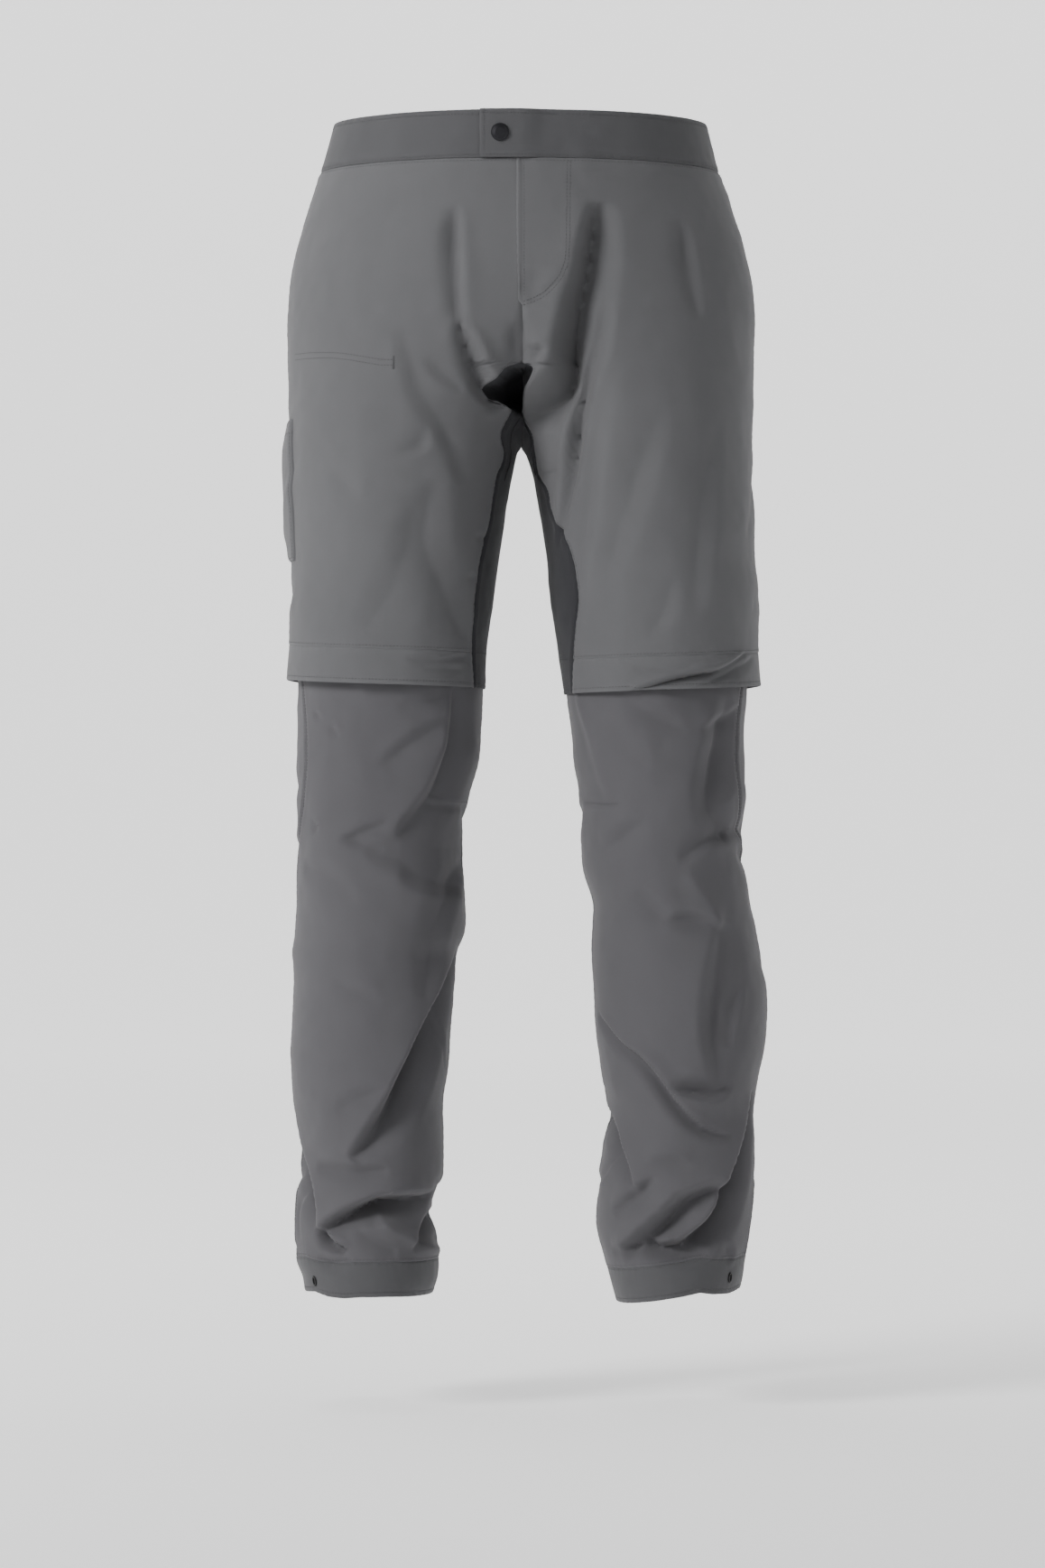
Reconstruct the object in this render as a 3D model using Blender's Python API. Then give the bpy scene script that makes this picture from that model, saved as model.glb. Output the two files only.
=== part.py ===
"""Convertible zip-off trousers, worn: hollow cloth walls in cut and sewn pieces.

Metres, +Z up, front towards -Y. The origin is the middle of the waist opening,
level with the waistband's top edge. The wearer's right leg lies on the -X side.

Each leg is a stack of ovals. A point on it is named by its height and by an angle
round the leg: 0 at the outseam, 90 degrees at the front, 180 at the inseam.
Above the crotch the two legs' ovals are cut off at the middle plane, X = 0.
"""

import math

import bmesh
import bpy
from mathutils import Vector

# Cloth and seams
CLOTH = 0.0015
DOUBLE_CLOTH = 0.0022
SEAM_GAP = 0.0003
STEP_CLEARANCE = 0.0012

# Levels, measured down from the waistband's top edge
BAND_DEPTH = 0.042
FORK_HEIGHT = -0.212
CROTCH_HEIGHT = -0.281
HEM_DEPTH = 0.031

# Rows and columns of the panels' grids
HIP_ROWS = 10
THIGH_ROWS = 13
FLAP_ROWS = 3
SHIN_ROWS = 32
HEM_ROWS = 2
FRONT_COLUMNS = 12
BACK_COLUMNS = 8
GUSSET_COLUMNS = 6
SHIN_FRONT_COLUMNS = 12
SHIN_BACK_COLUMNS = 8

# Share of the half turn from outseam to inseam that the front and back panels cover
PANEL_SHARE = 0.83

# Share of the thigh's rows over which the stretch panel's columns spread out, top to bottom
GUSSET_SPREAD_SHARE = 0.6

# Edges that bend by more than this many degrees are shaded sharp
SHARP_ANGLE = 50.0

# Depth of the figure at each height: how far its front and back stand from Y = 0
# Columns: height, front, back, squareness of the oval
UPPER_DEPTH = (
    (0.000, 0.118, 0.118, 2.00),
    (-0.042, 0.121, 0.124, 2.00),
    (-0.090, 0.122, 0.135, 2.05),
    (-0.150, 0.120, 0.143, 2.10),
    (-0.212, 0.116, 0.140, 2.15),
    (-0.281, 0.112, 0.128, 2.15),
    (-0.344, 0.108, 0.115, 2.15),
    (-0.420, 0.102, 0.101, 2.15),
    (-0.465, 0.098, 0.094, 2.15),
    (-0.505, 0.096, 0.092, 2.15),
)
LOWER_DEPTH = (
    (-0.455, 0.0915, 0.0880, 2.15),
    (-0.505, 0.0885, 0.0850, 2.15),
    (-0.560, 0.0850, 0.0760, 2.15),
    (-0.620, 0.0800, 0.0740, 2.10),
    (-0.700, 0.0740, 0.0830, 2.10),
    (-0.780, 0.0690, 0.0880, 2.10),
    (-0.860, 0.0630, 0.0880, 2.05),
    (-0.940, 0.0570, 0.0870, 2.05),
    (-1.000, 0.0540, 0.0880, 2.05),
    (-1.045, 0.0530, 0.0900, 2.05),
)

# Outlines of the wearer's right leg, measured outwards from the middle plane
# Columns: height, inner edge, outer edge
RIGHT_THIGH = (
    (0.000, -0.166, 0.166),
    (-0.042, -0.177, 0.177),
    (-0.090, -0.192, 0.1925),
    (-0.128, -0.186, 0.2025),
    (-0.164, -0.145, 0.2064),
    (-0.196, -0.096, 0.2064),
    (-0.212, -0.070, 0.2062),
    (-0.250, -0.017, 0.2060),
    (-0.281, 0.0002, 0.2058),
    (-0.312, 0.0066, 0.2054),
    (-0.344, 0.0128, 0.2048),
    (-0.386, 0.0188, 0.2034),
    (-0.432, 0.0252, 0.2044),
    (-0.462, 0.0292, 0.2060),
    (-0.500, 0.0299, 0.2072),
)
RIGHT_SHIN = (
    (-0.455, 0.0330, 0.1975),
    (-0.498, 0.0324, 0.1986),
    (-0.534, 0.0344, 0.1986),
    (-0.564, 0.0379, 0.1986),
    (-0.592, 0.0456, 0.1986),
    (-0.609, 0.0488, 0.1986),
    (-0.647, 0.0520, 0.1986),
    (-0.688, 0.0488, 0.1986),
    (-0.716, 0.0504, 0.2002),
    (-0.732, 0.0571, 0.2026),
    (-0.758, 0.0592, 0.2010),
    (-0.802, 0.0624, 0.2040),
    (-0.838, 0.0650, 0.2040),
    (-0.864, 0.0690, 0.2016),
    (-0.906, 0.0685, 0.1952),
    (-0.931, 0.0695, 0.1971),
    (-0.963, 0.0806, 0.2004),
    (-0.981, 0.0762, 0.2010),
    (-1.005, 0.0736, 0.1994),
    (-1.020, 0.0745, 0.1936),
    (-1.040, 0.0790, 0.1912),
)

# Outlines of the wearer's left leg, same columns
LEFT_THIGH = (
    (0.000, -0.166, 0.166),
    (-0.042, -0.177, 0.177),
    (-0.090, -0.192, 0.1930),
    (-0.128, -0.186, 0.2035),
    (-0.164, -0.145, 0.2080),
    (-0.196, -0.096, 0.2074),
    (-0.212, -0.070, 0.2070),
    (-0.250, -0.017, 0.2060),
    (-0.281, 0.0002, 0.2056),
    (-0.312, 0.0112, 0.2064),
    (-0.344, 0.0168, 0.2076),
    (-0.386, 0.0236, 0.2085),
    (-0.416, 0.0256, 0.2120),
    (-0.445, 0.0300, 0.2108),
    (-0.480, 0.0342, 0.2108),
    (-0.503, 0.0372, 0.2120),
)
LEFT_SHIN = (
    (-0.455, 0.0380, 0.2000),
    (-0.498, 0.0396, 0.2010),
    (-0.534, 0.0440, 0.1990),
    (-0.568, 0.0474, 0.1996),
    (-0.586, 0.0512, 0.2006),
    (-0.609, 0.0524, 0.1982),
    (-0.636, 0.0536, 0.1952),
    (-0.659, 0.0552, 0.1998),
    (-0.688, 0.0640, 0.2036),
    (-0.705, 0.0637, 0.2070),
    (-0.732, 0.0621, 0.2128),
    (-0.765, 0.0643, 0.2176),
    (-0.798, 0.0664, 0.2184),
    (-0.821, 0.0690, 0.2160),
    (-0.845, 0.0722, 0.2110),
    (-0.872, 0.0784, 0.2072),
    (-0.904, 0.0734, 0.2072),
    (-0.940, 0.0688, 0.2072),
    (-0.967, 0.0672, 0.2060),
    (-0.985, 0.0696, 0.2032),
    (-1.014, 0.0776, 0.1981),
    (-1.045, 0.0860, 0.1935),
)

# Seams that bound the dark stretch panel inside the thigh
# Columns: height, distance from the middle plane at the front, and at the back
RIGHT_GUSSET_SEAM = (
    (-0.212, 0.0000, 0.0000),
    (-0.240, 0.0090, 0.0120),
    (-0.281, 0.0140, 0.0200),
    (-0.312, 0.0190, 0.0280),
    (-0.355, 0.0280, 0.0360),
    (-0.392, 0.0376, 0.0430),
    (-0.428, 0.0420, 0.0480),
    (-0.505, 0.0420, 0.0500),
)
LEFT_GUSSET_SEAM = (
    (-0.212, 0.0000, 0.0000),
    (-0.240, 0.0070, 0.0120),
    (-0.281, 0.0100, 0.0200),
    (-0.312, 0.0180, 0.0290),
    (-0.338, 0.0270, 0.0360),
    (-0.372, 0.0424, 0.0430),
    (-0.409, 0.0492, 0.0500),
    (-0.505, 0.0480, 0.0540),
)

# Turn of the lower outseam towards the front, in degrees
# Columns: height, turn
SHIN_OUTSEAM = (
    (-0.455, 12.0),
    (-0.510, 22.0),
    (-0.570, 25.0),
    (-0.610, 18.0),
    (-0.660, 4.0),
    (-0.720, 0.0),
    (-1.050, 0.0),
)

# Each leg's own sizes. A height is given at the outseam, and the edge drops from
# there to the inseam. A positive tilt raises the hem's outer side.
LEGS = {
    "right": {
        "side": -1,
        "thigh": RIGHT_THIGH,
        "shin": RIGHT_SHIN,
        "gusset": RIGHT_GUSSET_SEAM,
        "flap_stitch": -0.4590,
        "flap_edge": -0.4900,
        "flap_drop": 0.0085,
        "hem": -1.0335,
        "hem_tilt": 0.0010,
        "hem_front_rise": 0.0000,
    },
    "left": {
        "side": 1,
        "thigh": LEFT_THIGH,
        "shin": LEFT_SHIN,
        "gusset": LEFT_GUSSET_SEAM,
        "flap_stitch": -0.4660,
        "flap_edge": -0.4955,
        "flap_drop": 0.0080,
        "hem": -1.0365,
        "hem_tilt": 0.0055,
        "hem_front_rise": 0.0050,
    },
}
ZIP_TOP_LIFT = 0.010
ZIP_FOOT_DROP = 0.020

# How far down its ring the leg zip's slider sits
SLIDER_SHARE = 0.42

# Folds. The path is the trough's line in the front view, as X and height, and the
# raised lip lies on its left hand. Depth, lip and width are in metres.
# Columns: leg, face, depth, lip, width, path
FOLDS = (
    ("right", "front", 0.006, 0.003, 0.012, ((-0.052, -0.187), (-0.041, -0.218), (-0.029, -0.241))),
    ("right", "front", 0.004, 0.002, 0.016, ((-0.108, -0.182), (-0.094, -0.232), (-0.054, -0.311))),
    ("right", "front", 0.004, 0.000, 0.017, ((-0.077, -0.311), (-0.084, -0.365), (-0.049, -0.448))),
    ("right", "front", 0.003, 0.002, 0.012, ((-0.118, -0.557), (-0.074, -0.529))),
    ("right", "front", 0.005, 0.004, 0.014,
     ((-0.092, -0.622), (-0.064, -0.592), (-0.052, -0.562), (-0.046, -0.520))),
    ("right", "front", 0.005, 0.002, 0.012, ((-0.165, -0.632), (-0.118, -0.626))),
    ("right", "front", 0.003, 0.002, 0.012, ((-0.137, -0.646), (-0.096, -0.666), (-0.057, -0.676))),
    ("right", "front", 0.010, 0.006, 0.015,
     ((-0.140, -0.922), (-0.114, -0.888), (-0.088, -0.843), (-0.072, -0.800), (-0.050, -0.742))),
    ("right", "front", 0.003, 0.002, 0.012, ((-0.178, -0.922), (-0.121, -0.925))),
    ("right", "front", 0.008, 0.005, 0.013,
     ((-0.076, -0.958), (-0.122, -0.958), (-0.153, -0.968), (-0.182, -0.987))),
    ("left", "front", 0.009, 0.004, 0.013,
     ((0.058, -0.146), (0.045, -0.186), (0.028, -0.218), (0.010, -0.248))),
    ("left", "front", 0.004, 0.002, 0.012, ((0.069, -0.204), (0.054, -0.250), (0.040, -0.348))),
    ("left", "front", 0.003, 0.002, 0.012, ((0.095, -0.508), (0.146, -0.536))),
    ("left", "front", 0.007, 0.003, 0.018, ((0.180, -0.620), (0.178, -0.520))),
    ("left", "front", 0.006, 0.003, 0.013, ((0.198, -0.645), (0.144, -0.652))),
    ("left", "front", 0.006, 0.005, 0.017, ((0.184, -0.860), (0.182, -0.790), (0.188, -0.712))),
    ("left", "front", 0.008, 0.005, 0.013,
     ((0.182, -0.898), (0.150, -0.882), (0.123, -0.850), (0.103, -0.828), (0.074, -0.800))),
    ("left", "front", 0.006, 0.004, 0.012, ((0.107, -0.936), (0.098, -0.906), (0.088, -0.874))),
    ("left", "front", 0.009, 0.005, 0.013,
     ((0.182, -0.944), (0.158, -0.948), (0.127, -0.969), (0.088, -0.996))),
    ("left", "front", 0.008, 0.006, 0.012,
     ((0.140, -0.998), (0.176, -0.978), (0.196, -0.948), (0.203, -0.905))),
    ("right", "back", 0.006, 0.003, 0.018, ((-0.040, -0.262), (-0.090, -0.285), (-0.150, -0.272))),
    ("right", "back", 0.005, 0.003, 0.016, ((-0.050, -0.330), (-0.110, -0.350), (-0.170, -0.330))),
    ("right", "back", 0.007, 0.004, 0.015, ((-0.060, -0.560), (-0.120, -0.578), (-0.185, -0.565))),
    ("right", "back", 0.007, 0.004, 0.015, ((-0.062, -0.612), (-0.120, -0.600), (-0.185, -0.618))),
    ("right", "back", 0.006, 0.004, 0.016, ((-0.070, -0.700), (-0.130, -0.735), (-0.185, -0.728))),
    ("right", "back", 0.008, 0.005, 0.015, ((-0.085, -0.905), (-0.140, -0.930), (-0.185, -0.915))),
    ("right", "back", 0.007, 0.004, 0.014, ((-0.090, -0.982), (-0.135, -0.966), (-0.185, -0.975))),
    ("left", "back", 0.006, 0.003, 0.018, ((0.150, -0.265), (0.095, -0.290), (0.040, -0.268))),
    ("left", "back", 0.005, 0.003, 0.016, ((0.172, -0.338), (0.110, -0.344), (0.055, -0.322))),
    ("left", "back", 0.007, 0.004, 0.015, ((0.188, -0.572), (0.125, -0.572), (0.066, -0.556))),
    ("left", "back", 0.007, 0.004, 0.015, ((0.188, -0.610), (0.125, -0.622), (0.066, -0.606))),
    ("left", "back", 0.006, 0.004, 0.016, ((0.195, -0.720), (0.140, -0.742), (0.080, -0.712))),
    ("left", "back", 0.008, 0.005, 0.015, ((0.195, -0.898), (0.140, -0.912), (0.085, -0.890))),
    ("left", "back", 0.007, 0.004, 0.014, ((0.190, -0.972), (0.140, -0.958), (0.088, -0.975))),
)
LIP_OFFSET = 1.5
FOLD_END_SHARE = 0.22
FOLD_REACH = 4

# How fast a fold of one face fades out towards the other face, and how far it reaches past the side
FACE_FADE = 2.5
FACE_OVERLAP = 0.15

# Waistband closure and fly
TAB_LENGTH = 0.035
TAB_RAMP = 0.022
TAB_LIFT = 0.0032
FLY_WIDTH = 0.041
FLY_FOOT_WIDTH = 0.006
FLY_ROWS = 7
FLY_STRAIGHT_ROWS = 5
FLY_COLUMNS = 3
ZIP_TAPE_WIDTH = 0.024
ZIP_TAPE_TOP = -0.050
SNAP_STEPS = 24

# Profile of the snap's cap. Columns: radius, height out of the band
SNAP_PROFILE = (
    (0.0078, 0.0000),
    (0.0078, 0.0012),
    (0.0069, 0.0024),
    (0.0039, 0.0029),
)

# One half of a zip slider's outline, with its pull tab laid flat below it
# Columns: distance from its middle line, height
SLIDER_OUTLINE = (
    (0.0028, 0.0050),
    (0.0040, 0.0020),
    (0.0024, -0.0040),
    (0.0012, -0.0055),
    (0.0026, -0.0065),
    (0.0026, -0.0140),
)
SLIDER_DEPTH = 0.0020
SLIDER_TURN = 25.0
FLY_SLIDER_DROP = 0.007

# Patch pocket on the right thigh's outer side, and its fullness
POCKET_TOP = -0.262
POCKET_BOTTOM = -0.386
POCKET_FRONT_COLUMNS = 2
POCKET_BACK_COLUMNS = 4
POCKET_FULLNESS = 0.0075
POCKET_ROUND_ACROSS = 0.7
POCKET_ROUND_DOWN = 0.6

# Hem eyelets: hem column that holds each, height above the hem edge, half sizes
EYELET_COLUMN = {"right": 1, "left": 2}
EYELET_RISE = 0.0165
EYELET_HALF_WIDTH = 0.0021
EYELET_HALF_HEIGHT = 0.0038
EYELET_RIM = 0.0009
EYELET_FLATNESS = 0.6
EYELET_STEPS = 16
EYELET_RIM_STEPS = 6

# Colours in linear RGB, with roughness and metallic value
FINISHES = {
    "thigh cloth": ((0.140, 0.140, 0.146), 0.88, 0.0),
    "shin cloth": ((0.128, 0.127, 0.136), 0.88, 0.0),
    "stretch cloth": ((0.040, 0.040, 0.043), 0.92, 0.0),
    "band cloth": ((0.120, 0.120, 0.126), 0.88, 0.0),
    "zip tape": ((0.012, 0.012, 0.013), 0.75, 0.0),
    "zip slider": ((0.020, 0.020, 0.022), 0.35, 0.6),
    "eyelet": ((0.008, 0.008, 0.009), 0.40, 0.3),
    "snap": ((0.030, 0.030, 0.032), 0.35, 0.7),
}


def remove_scene_objects():
    for item in list(bpy.data.objects):
        bpy.data.objects.remove(item, do_unlink=True)


def make_material(name, finish):
    colour, roughness, metallic = FINISHES[finish]
    material = bpy.data.materials.new(name + " finish")
    material.use_nodes = True
    shader = material.node_tree.nodes["Principled BSDF"]
    shader.inputs["Base Color"].default_value = (*colour, 1.0)
    shader.inputs["Roughness"].default_value = roughness
    shader.inputs["Metallic"].default_value = metallic
    return material


def mix(first, second, share):
    return first + (second - first) * share


def ease(value):
    value = min(1.0, max(0.0, value))
    return value * value * (3.0 - 2.0 * value)


def slope(table, index, column):
    """Slope of one column of a table at one of its rows."""
    before = table[max(index - 1, 0)]
    after = table[min(index + 1, len(table) - 1)]
    return (after[column] - before[column]) / (after[0] - before[0])


def read_table(table, height):
    """Smooth values of a table's columns at a height between its rows."""
    height = min(table[0][0], max(table[-1][0], height))
    index = 0
    while index < len(table) - 2 and height < table[index + 1][0]:
        index += 1
    upper, lower = table[index], table[index + 1]
    span = lower[0] - upper[0]
    share = (height - upper[0]) / span
    values = []
    for column in range(1, len(upper)):
        start_slope = slope(table, index, column) * span
        end_slope = slope(table, index + 1, column) * span
        values.append(
            (2 * share**3 - 3 * share**2 + 1) * upper[column]
            + (share**3 - 2 * share**2 + share) * start_slope
            + (3 * share**2 - 2 * share**3) * lower[column]
            + (share**3 - share**2) * end_slope
        )
    return values


def signed_power(value, power):
    return math.copysign(abs(value) ** power, value)


def leg_oval(leg, tube, height):
    """Middle, half width, front and back depth and squareness of a leg's oval."""
    inner, outer = read_table(LEGS[leg][tube], height)
    depth_table = UPPER_DEPTH if tube == "thigh" else LOWER_DEPTH
    front, back, square = read_table(depth_table, height)
    middle = (inner + outer) / 2
    half_width = (outer - inner) / 2
    centre = (back - front) / 2
    half_depth = (back + front) / 2
    return middle, half_width, centre, half_depth, square


def angle_at(leg, tube, height, distance, face):
    """Angle of the point that lies at a distance from the middle plane."""
    middle, half_width, centre, half_depth, square = leg_oval(leg, tube, height)
    across = min(1.0, max(-1.0, (distance - middle) / half_width))
    angle = math.acos(signed_power(across, square / 2))
    return angle if face == "front" else -angle


def nearest_on_path(path, x, height):
    """Signed distance from a path, left side positive, and the share of its length."""
    lengths = [math.dist(path[i], path[i + 1]) for i in range(len(path) - 1)]
    best = None
    run = 0.0
    for i, length in enumerate(lengths):
        ax, az = path[i]
        dx = (path[i + 1][0] - ax) / length
        dz = (path[i + 1][1] - az) / length
        along = min(length, max(0.0, (x - ax) * dx + (height - az) * dz))
        ox, oz = x - ax - along * dx, height - az - along * dz
        distance = math.hypot(ox, oz)
        if best is None or distance < abs(best[0]):
            side = 1.0 if dx * oz - dz * ox >= 0 else -1.0
            best = (side * distance, (run + along) / sum(lengths))
        run += length
    return best


def fold_height(leg, x, height, frontness):
    """How far the folds move the cloth out (positive) or in at a point."""
    total = 0.0
    for fold_leg, face, depth, lip, width, path in FOLDS:
        if fold_leg != leg:
            continue
        facing = frontness if face == "front" else -frontness
        shown = ease(facing * FACE_FADE + FACE_OVERLAP)
        heights = [point[1] for point in path]
        reach = FOLD_REACH * width
        if shown == 0 or not min(heights) - reach < height < max(heights) + reach:
            continue
        distance, share = nearest_on_path(path, x, height)
        if abs(distance) > reach:
            continue
        end = ease(share / FOLD_END_SHARE) * ease((1 - share) / FOLD_END_SHARE)
        trough = math.exp(-((distance / width) ** 2))
        raised = math.exp(-((distance / width - LIP_OFFSET) ** 2))
        total += (lip * raised - depth * trough) * end * shown
    return total


def leg_surface(leg, tube, height, angle):
    """Point on a leg's outer face."""
    middle, half_width, centre, half_depth, square = leg_oval(leg, tube, height)
    cosine, sine = math.cos(angle), math.sin(angle)
    across = middle + half_width * signed_power(cosine, 2 / square)
    along = centre - half_depth * signed_power(sine, 2 / square)
    normal = Vector((signed_power(cosine, 2 - 2 / square) / half_width,
                     -signed_power(sine, 2 - 2 / square) / half_depth))
    normal.normalize()
    side = LEGS[leg]["side"]
    rise = fold_height(leg, side * across, height, sine)
    return Vector((side * (across + normal.x * rise), along + normal.y * rise, height))


def leg_normal(leg, tube, height, angle):
    """Outward direction of a leg's outer face."""
    step_angle, step_height = 0.01, 0.0015
    round_step = (leg_surface(leg, tube, height, angle + step_angle)
                  - leg_surface(leg, tube, height, angle - step_angle))
    up_step = (leg_surface(leg, tube, height + step_height, angle)
               - leg_surface(leg, tube, height - step_height, angle))
    normal = round_step.cross(up_step) * -LEGS[leg]["side"]
    return normal.normalized()


def lifted(leg, tube, height, angle, lifts):
    """Points over or under one place on a leg, kept on the leg's own side."""
    point = leg_surface(leg, tube, height, angle)
    normal = leg_normal(leg, tube, height, angle)
    side = LEGS[leg]["side"]
    moved = []
    for lift in lifts:
        place = point + normal * lift
        place.x = side * max(side * place.x, SEAM_GAP / 2)
        moved.append(place)
    return moved


def gusset_edge(leg, height, face, margin):
    """Angle of the seam beside the middle plane, or beside the stretch panel."""
    front, back = read_table(LEGS[leg]["gusset"], min(height, FORK_HEIGHT))
    distance = front if face == "front" else back
    if height >= FORK_HEIGHT:
        distance = 0.0
    if distance < SEAM_GAP:
        distance = SEAM_GAP / 2
        margin = 0.0
    return angle_at(leg, "thigh", height, distance + margin, face)


def flap_line(leg, name, turn):
    """Height of the flap's stitching or free edge, from outseam 0 to inseam 1."""
    return LEGS[leg][name] - LEGS[leg]["flap_drop"] * math.sin(turn * math.pi / 2)


def thigh_height(leg, row, turn, start=FORK_HEIGHT):
    """Height of a row of the thigh's grids. Below the fork it may start lower."""
    if row <= HIP_ROWS:
        return mix(-BAND_DEPTH - SEAM_GAP, start, row / HIP_ROWS)
    stitch = flap_line(leg, "flap_stitch", turn)
    if row <= HIP_ROWS + THIGH_ROWS:
        return mix(start, stitch, (row - HIP_ROWS) / THIGH_ROWS)
    edge = flap_line(leg, "flap_edge", turn)
    return mix(stitch, edge, (row - HIP_ROWS - THIGH_ROWS) / FLAP_ROWS)


def panel_angle(leg, height, share, face, outseam_margin=0.0):
    """Angle of a column of a front or back thigh panel."""
    edge = gusset_edge(leg, height, face, SEAM_GAP / 2)
    start = math.copysign(outseam_margin, edge)
    return mix(start, edge, share)


def cloth_solid(name, outer, inner, closed, finish):
    """Closed wall between two grids of points, each a list of rows."""
    rows, columns = len(outer), len(outer[0])
    points = [point for row in outer for point in row] + [point for row in inner for point in row]
    under = rows * columns
    faces = []
    spans = columns if closed else columns - 1
    for row in range(rows - 1):
        for column in range(spans):
            near, far = column, (column + 1) % columns
            corners = [row * columns + near, row * columns + far,
                       (row + 1) * columns + far, (row + 1) * columns + near]
            faces.append(corners)
            faces.append([under + corner for corner in reversed(corners)])
    for column in range(spans):
        near, far = column, (column + 1) % columns
        last = (rows - 1) * columns
        faces.append([far, near, under + near, under + far])
        faces.append([last + near, last + far, under + last + far, under + last + near])
    if not closed:
        for row in range(rows - 1):
            first, second = row * columns, (row + 1) * columns
            faces.append([first, second, under + second, under + first])
            first, second = first + columns - 1, second + columns - 1
            faces.append([second, first, under + first, under + second])
    return solid_object(name, points, faces, finish)


def solid_object(name, points, faces, finish):
    mesh = bpy.data.meshes.new(name)
    mesh.from_pydata([tuple(point) for point in points], [], faces)
    shape = bmesh.new()
    shape.from_mesh(mesh)
    bmesh.ops.triangulate(shape, faces=shape.faces[:])
    bmesh.ops.recalc_face_normals(shape, faces=shape.faces[:])
    shape.to_mesh(mesh)
    shape.free()
    mesh.shade_smooth()
    mesh.set_sharp_from_angle(angle=math.radians(SHARP_ANGLE))
    mesh.materials.append(make_material(name, finish))
    item = bpy.data.objects.new(name, mesh)
    bpy.context.collection.objects.link(item)
    return item


def wall(name, grid, finish, closed=False, thickness=CLOTH, lift=0.0):
    """Cloth wall over a grid of places, each a leg, tube, height and angle."""
    outer, inner = [], []
    for row in grid:
        pairs = [lifted(*place, (lift, lift - thickness)) for place in row]
        outer.append([pair[0] for pair in pairs])
        inner.append([pair[1] for pair in pairs])
    return cloth_solid(name, outer, inner, closed, finish)


def half_gap_angle(leg, height, tube):
    """Half of a seam's gap as an angle at the outseam."""
    half_depth = leg_oval(leg, tube, height)[3]
    return SEAM_GAP / 2 / half_depth


def thigh_place(leg, row, share, face):
    height = thigh_height(leg, row, share * PANEL_SHARE)
    margin = half_gap_angle(leg, height, "thigh")
    return leg, "thigh", height, panel_angle(leg, height, share, face, margin)


def thigh_panel(leg, face):
    columns = FRONT_COLUMNS if face == "front" else BACK_COLUMNS
    grid = [[thigh_place(leg, row, column / columns, face) for column in range(columns + 1)]
            for row in range(HIP_ROWS + THIGH_ROWS + 1)]
    return wall(face + "_thigh_" + leg, grid, "thigh cloth")


def zip_flap(leg):
    """Band sewn under the thigh panels, free at its lower edge, over the leg's zip."""
    shares = [(-column / BACK_COLUMNS, "back") for column in range(BACK_COLUMNS, 0, -1)]
    shares += [(column / FRONT_COLUMNS, "front") for column in range(FRONT_COLUMNS + 1)]
    first = HIP_ROWS + THIGH_ROWS
    grid = []
    for row in range(first, first + FLAP_ROWS + 1):
        drop = SEAM_GAP if row == first else 0.0
        places = []
        for share, face in shares:
            height = thigh_height(leg, row, abs(share) * PANEL_SHARE) - drop
            places.append((leg, "thigh", height, panel_angle(leg, height, abs(share), face)))
        grid.append(places)
    return wall("zip_flap_" + leg, grid, "band cloth")


def gusset_place(leg, row, share):
    """Place on the stretch panel: share 0 is its front seam, 1 its back seam."""
    aside = abs(1 - 2 * share)
    start = mix(CROTCH_HEIGHT, FORK_HEIGHT, aside**2)
    turn = mix(1.0, PANEL_SHARE, aside)
    height = thigh_height(leg, row, turn, start)
    front = gusset_edge(leg, height, "front", -SEAM_GAP / 2)
    back = 2 * math.pi + gusset_edge(leg, height, "back", -SEAM_GAP / 2)
    top_front = gusset_edge(leg, start, "front", 0.0)
    top_back = 2 * math.pi + gusset_edge(leg, start, "back", 0.0)
    face = "front" if share <= 0.5 else "back"
    cut = angle_at(leg, "thigh", start, SEAM_GAP / 2, face)
    cut = cut if face == "front" else 2 * math.pi + cut
    top_share = (cut - top_front) / max(top_back - top_front, 1e-6)
    spread = ease((row - HIP_ROWS) / (THIGH_ROWS * GUSSET_SPREAD_SHARE))
    return leg, "thigh", height, mix(front, back, mix(top_share, share, spread))


def gusset(leg):
    """Dark stretch panel from the crotch seam down to the flap's free edge."""
    grid = [[gusset_place(leg, row, column / GUSSET_COLUMNS) for column in range(GUSSET_COLUMNS + 1)]
            for row in range(HIP_ROWS, HIP_ROWS + THIGH_ROWS + FLAP_ROWS + 1)]
    return wall("inner_thigh_" + leg, grid, "stretch cloth")


def zip_foot(leg):
    return LEGS[leg]["flap_stitch"] - ZIP_FOOT_DROP


def shin_angle(height, share, face, margin):
    """Angle of a column of a lower front or back panel."""
    outseam = math.radians(read_table(SHIN_OUTSEAM, height)[0])
    if face == "front":
        return mix(outseam + margin, math.pi - margin, share)
    return mix(outseam - margin, margin - math.pi, share)


def hem_height(leg, angle, above):
    """Height over the hem's edge, which tilts and rises a little at the front."""
    rise = LEGS[leg]["hem_tilt"] * math.cos(angle)
    rise += LEGS[leg]["hem_front_rise"] * max(0.0, math.sin(angle))
    return LEGS[leg]["hem"] + rise + above


def shin_panel(leg, face):
    columns = SHIN_FRONT_COLUMNS if face == "front" else SHIN_BACK_COLUMNS
    top = zip_foot(leg) - SEAM_GAP
    grid = []
    for row in range(SHIN_ROWS + 1):
        places = []
        for column in range(columns + 1):
            share = column / columns
            nominal = math.pi * share if face == "front" else -math.pi * share
            height = mix(top, hem_height(leg, nominal, HEM_DEPTH), row / SHIN_ROWS)
            margin = half_gap_angle(leg, height, "shin")
            places.append((leg, "shin", height, shin_angle(height, share, face, margin)))
        grid.append(places)
    return wall("lower_" + face + "_" + leg, grid, "shin cloth")


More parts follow.
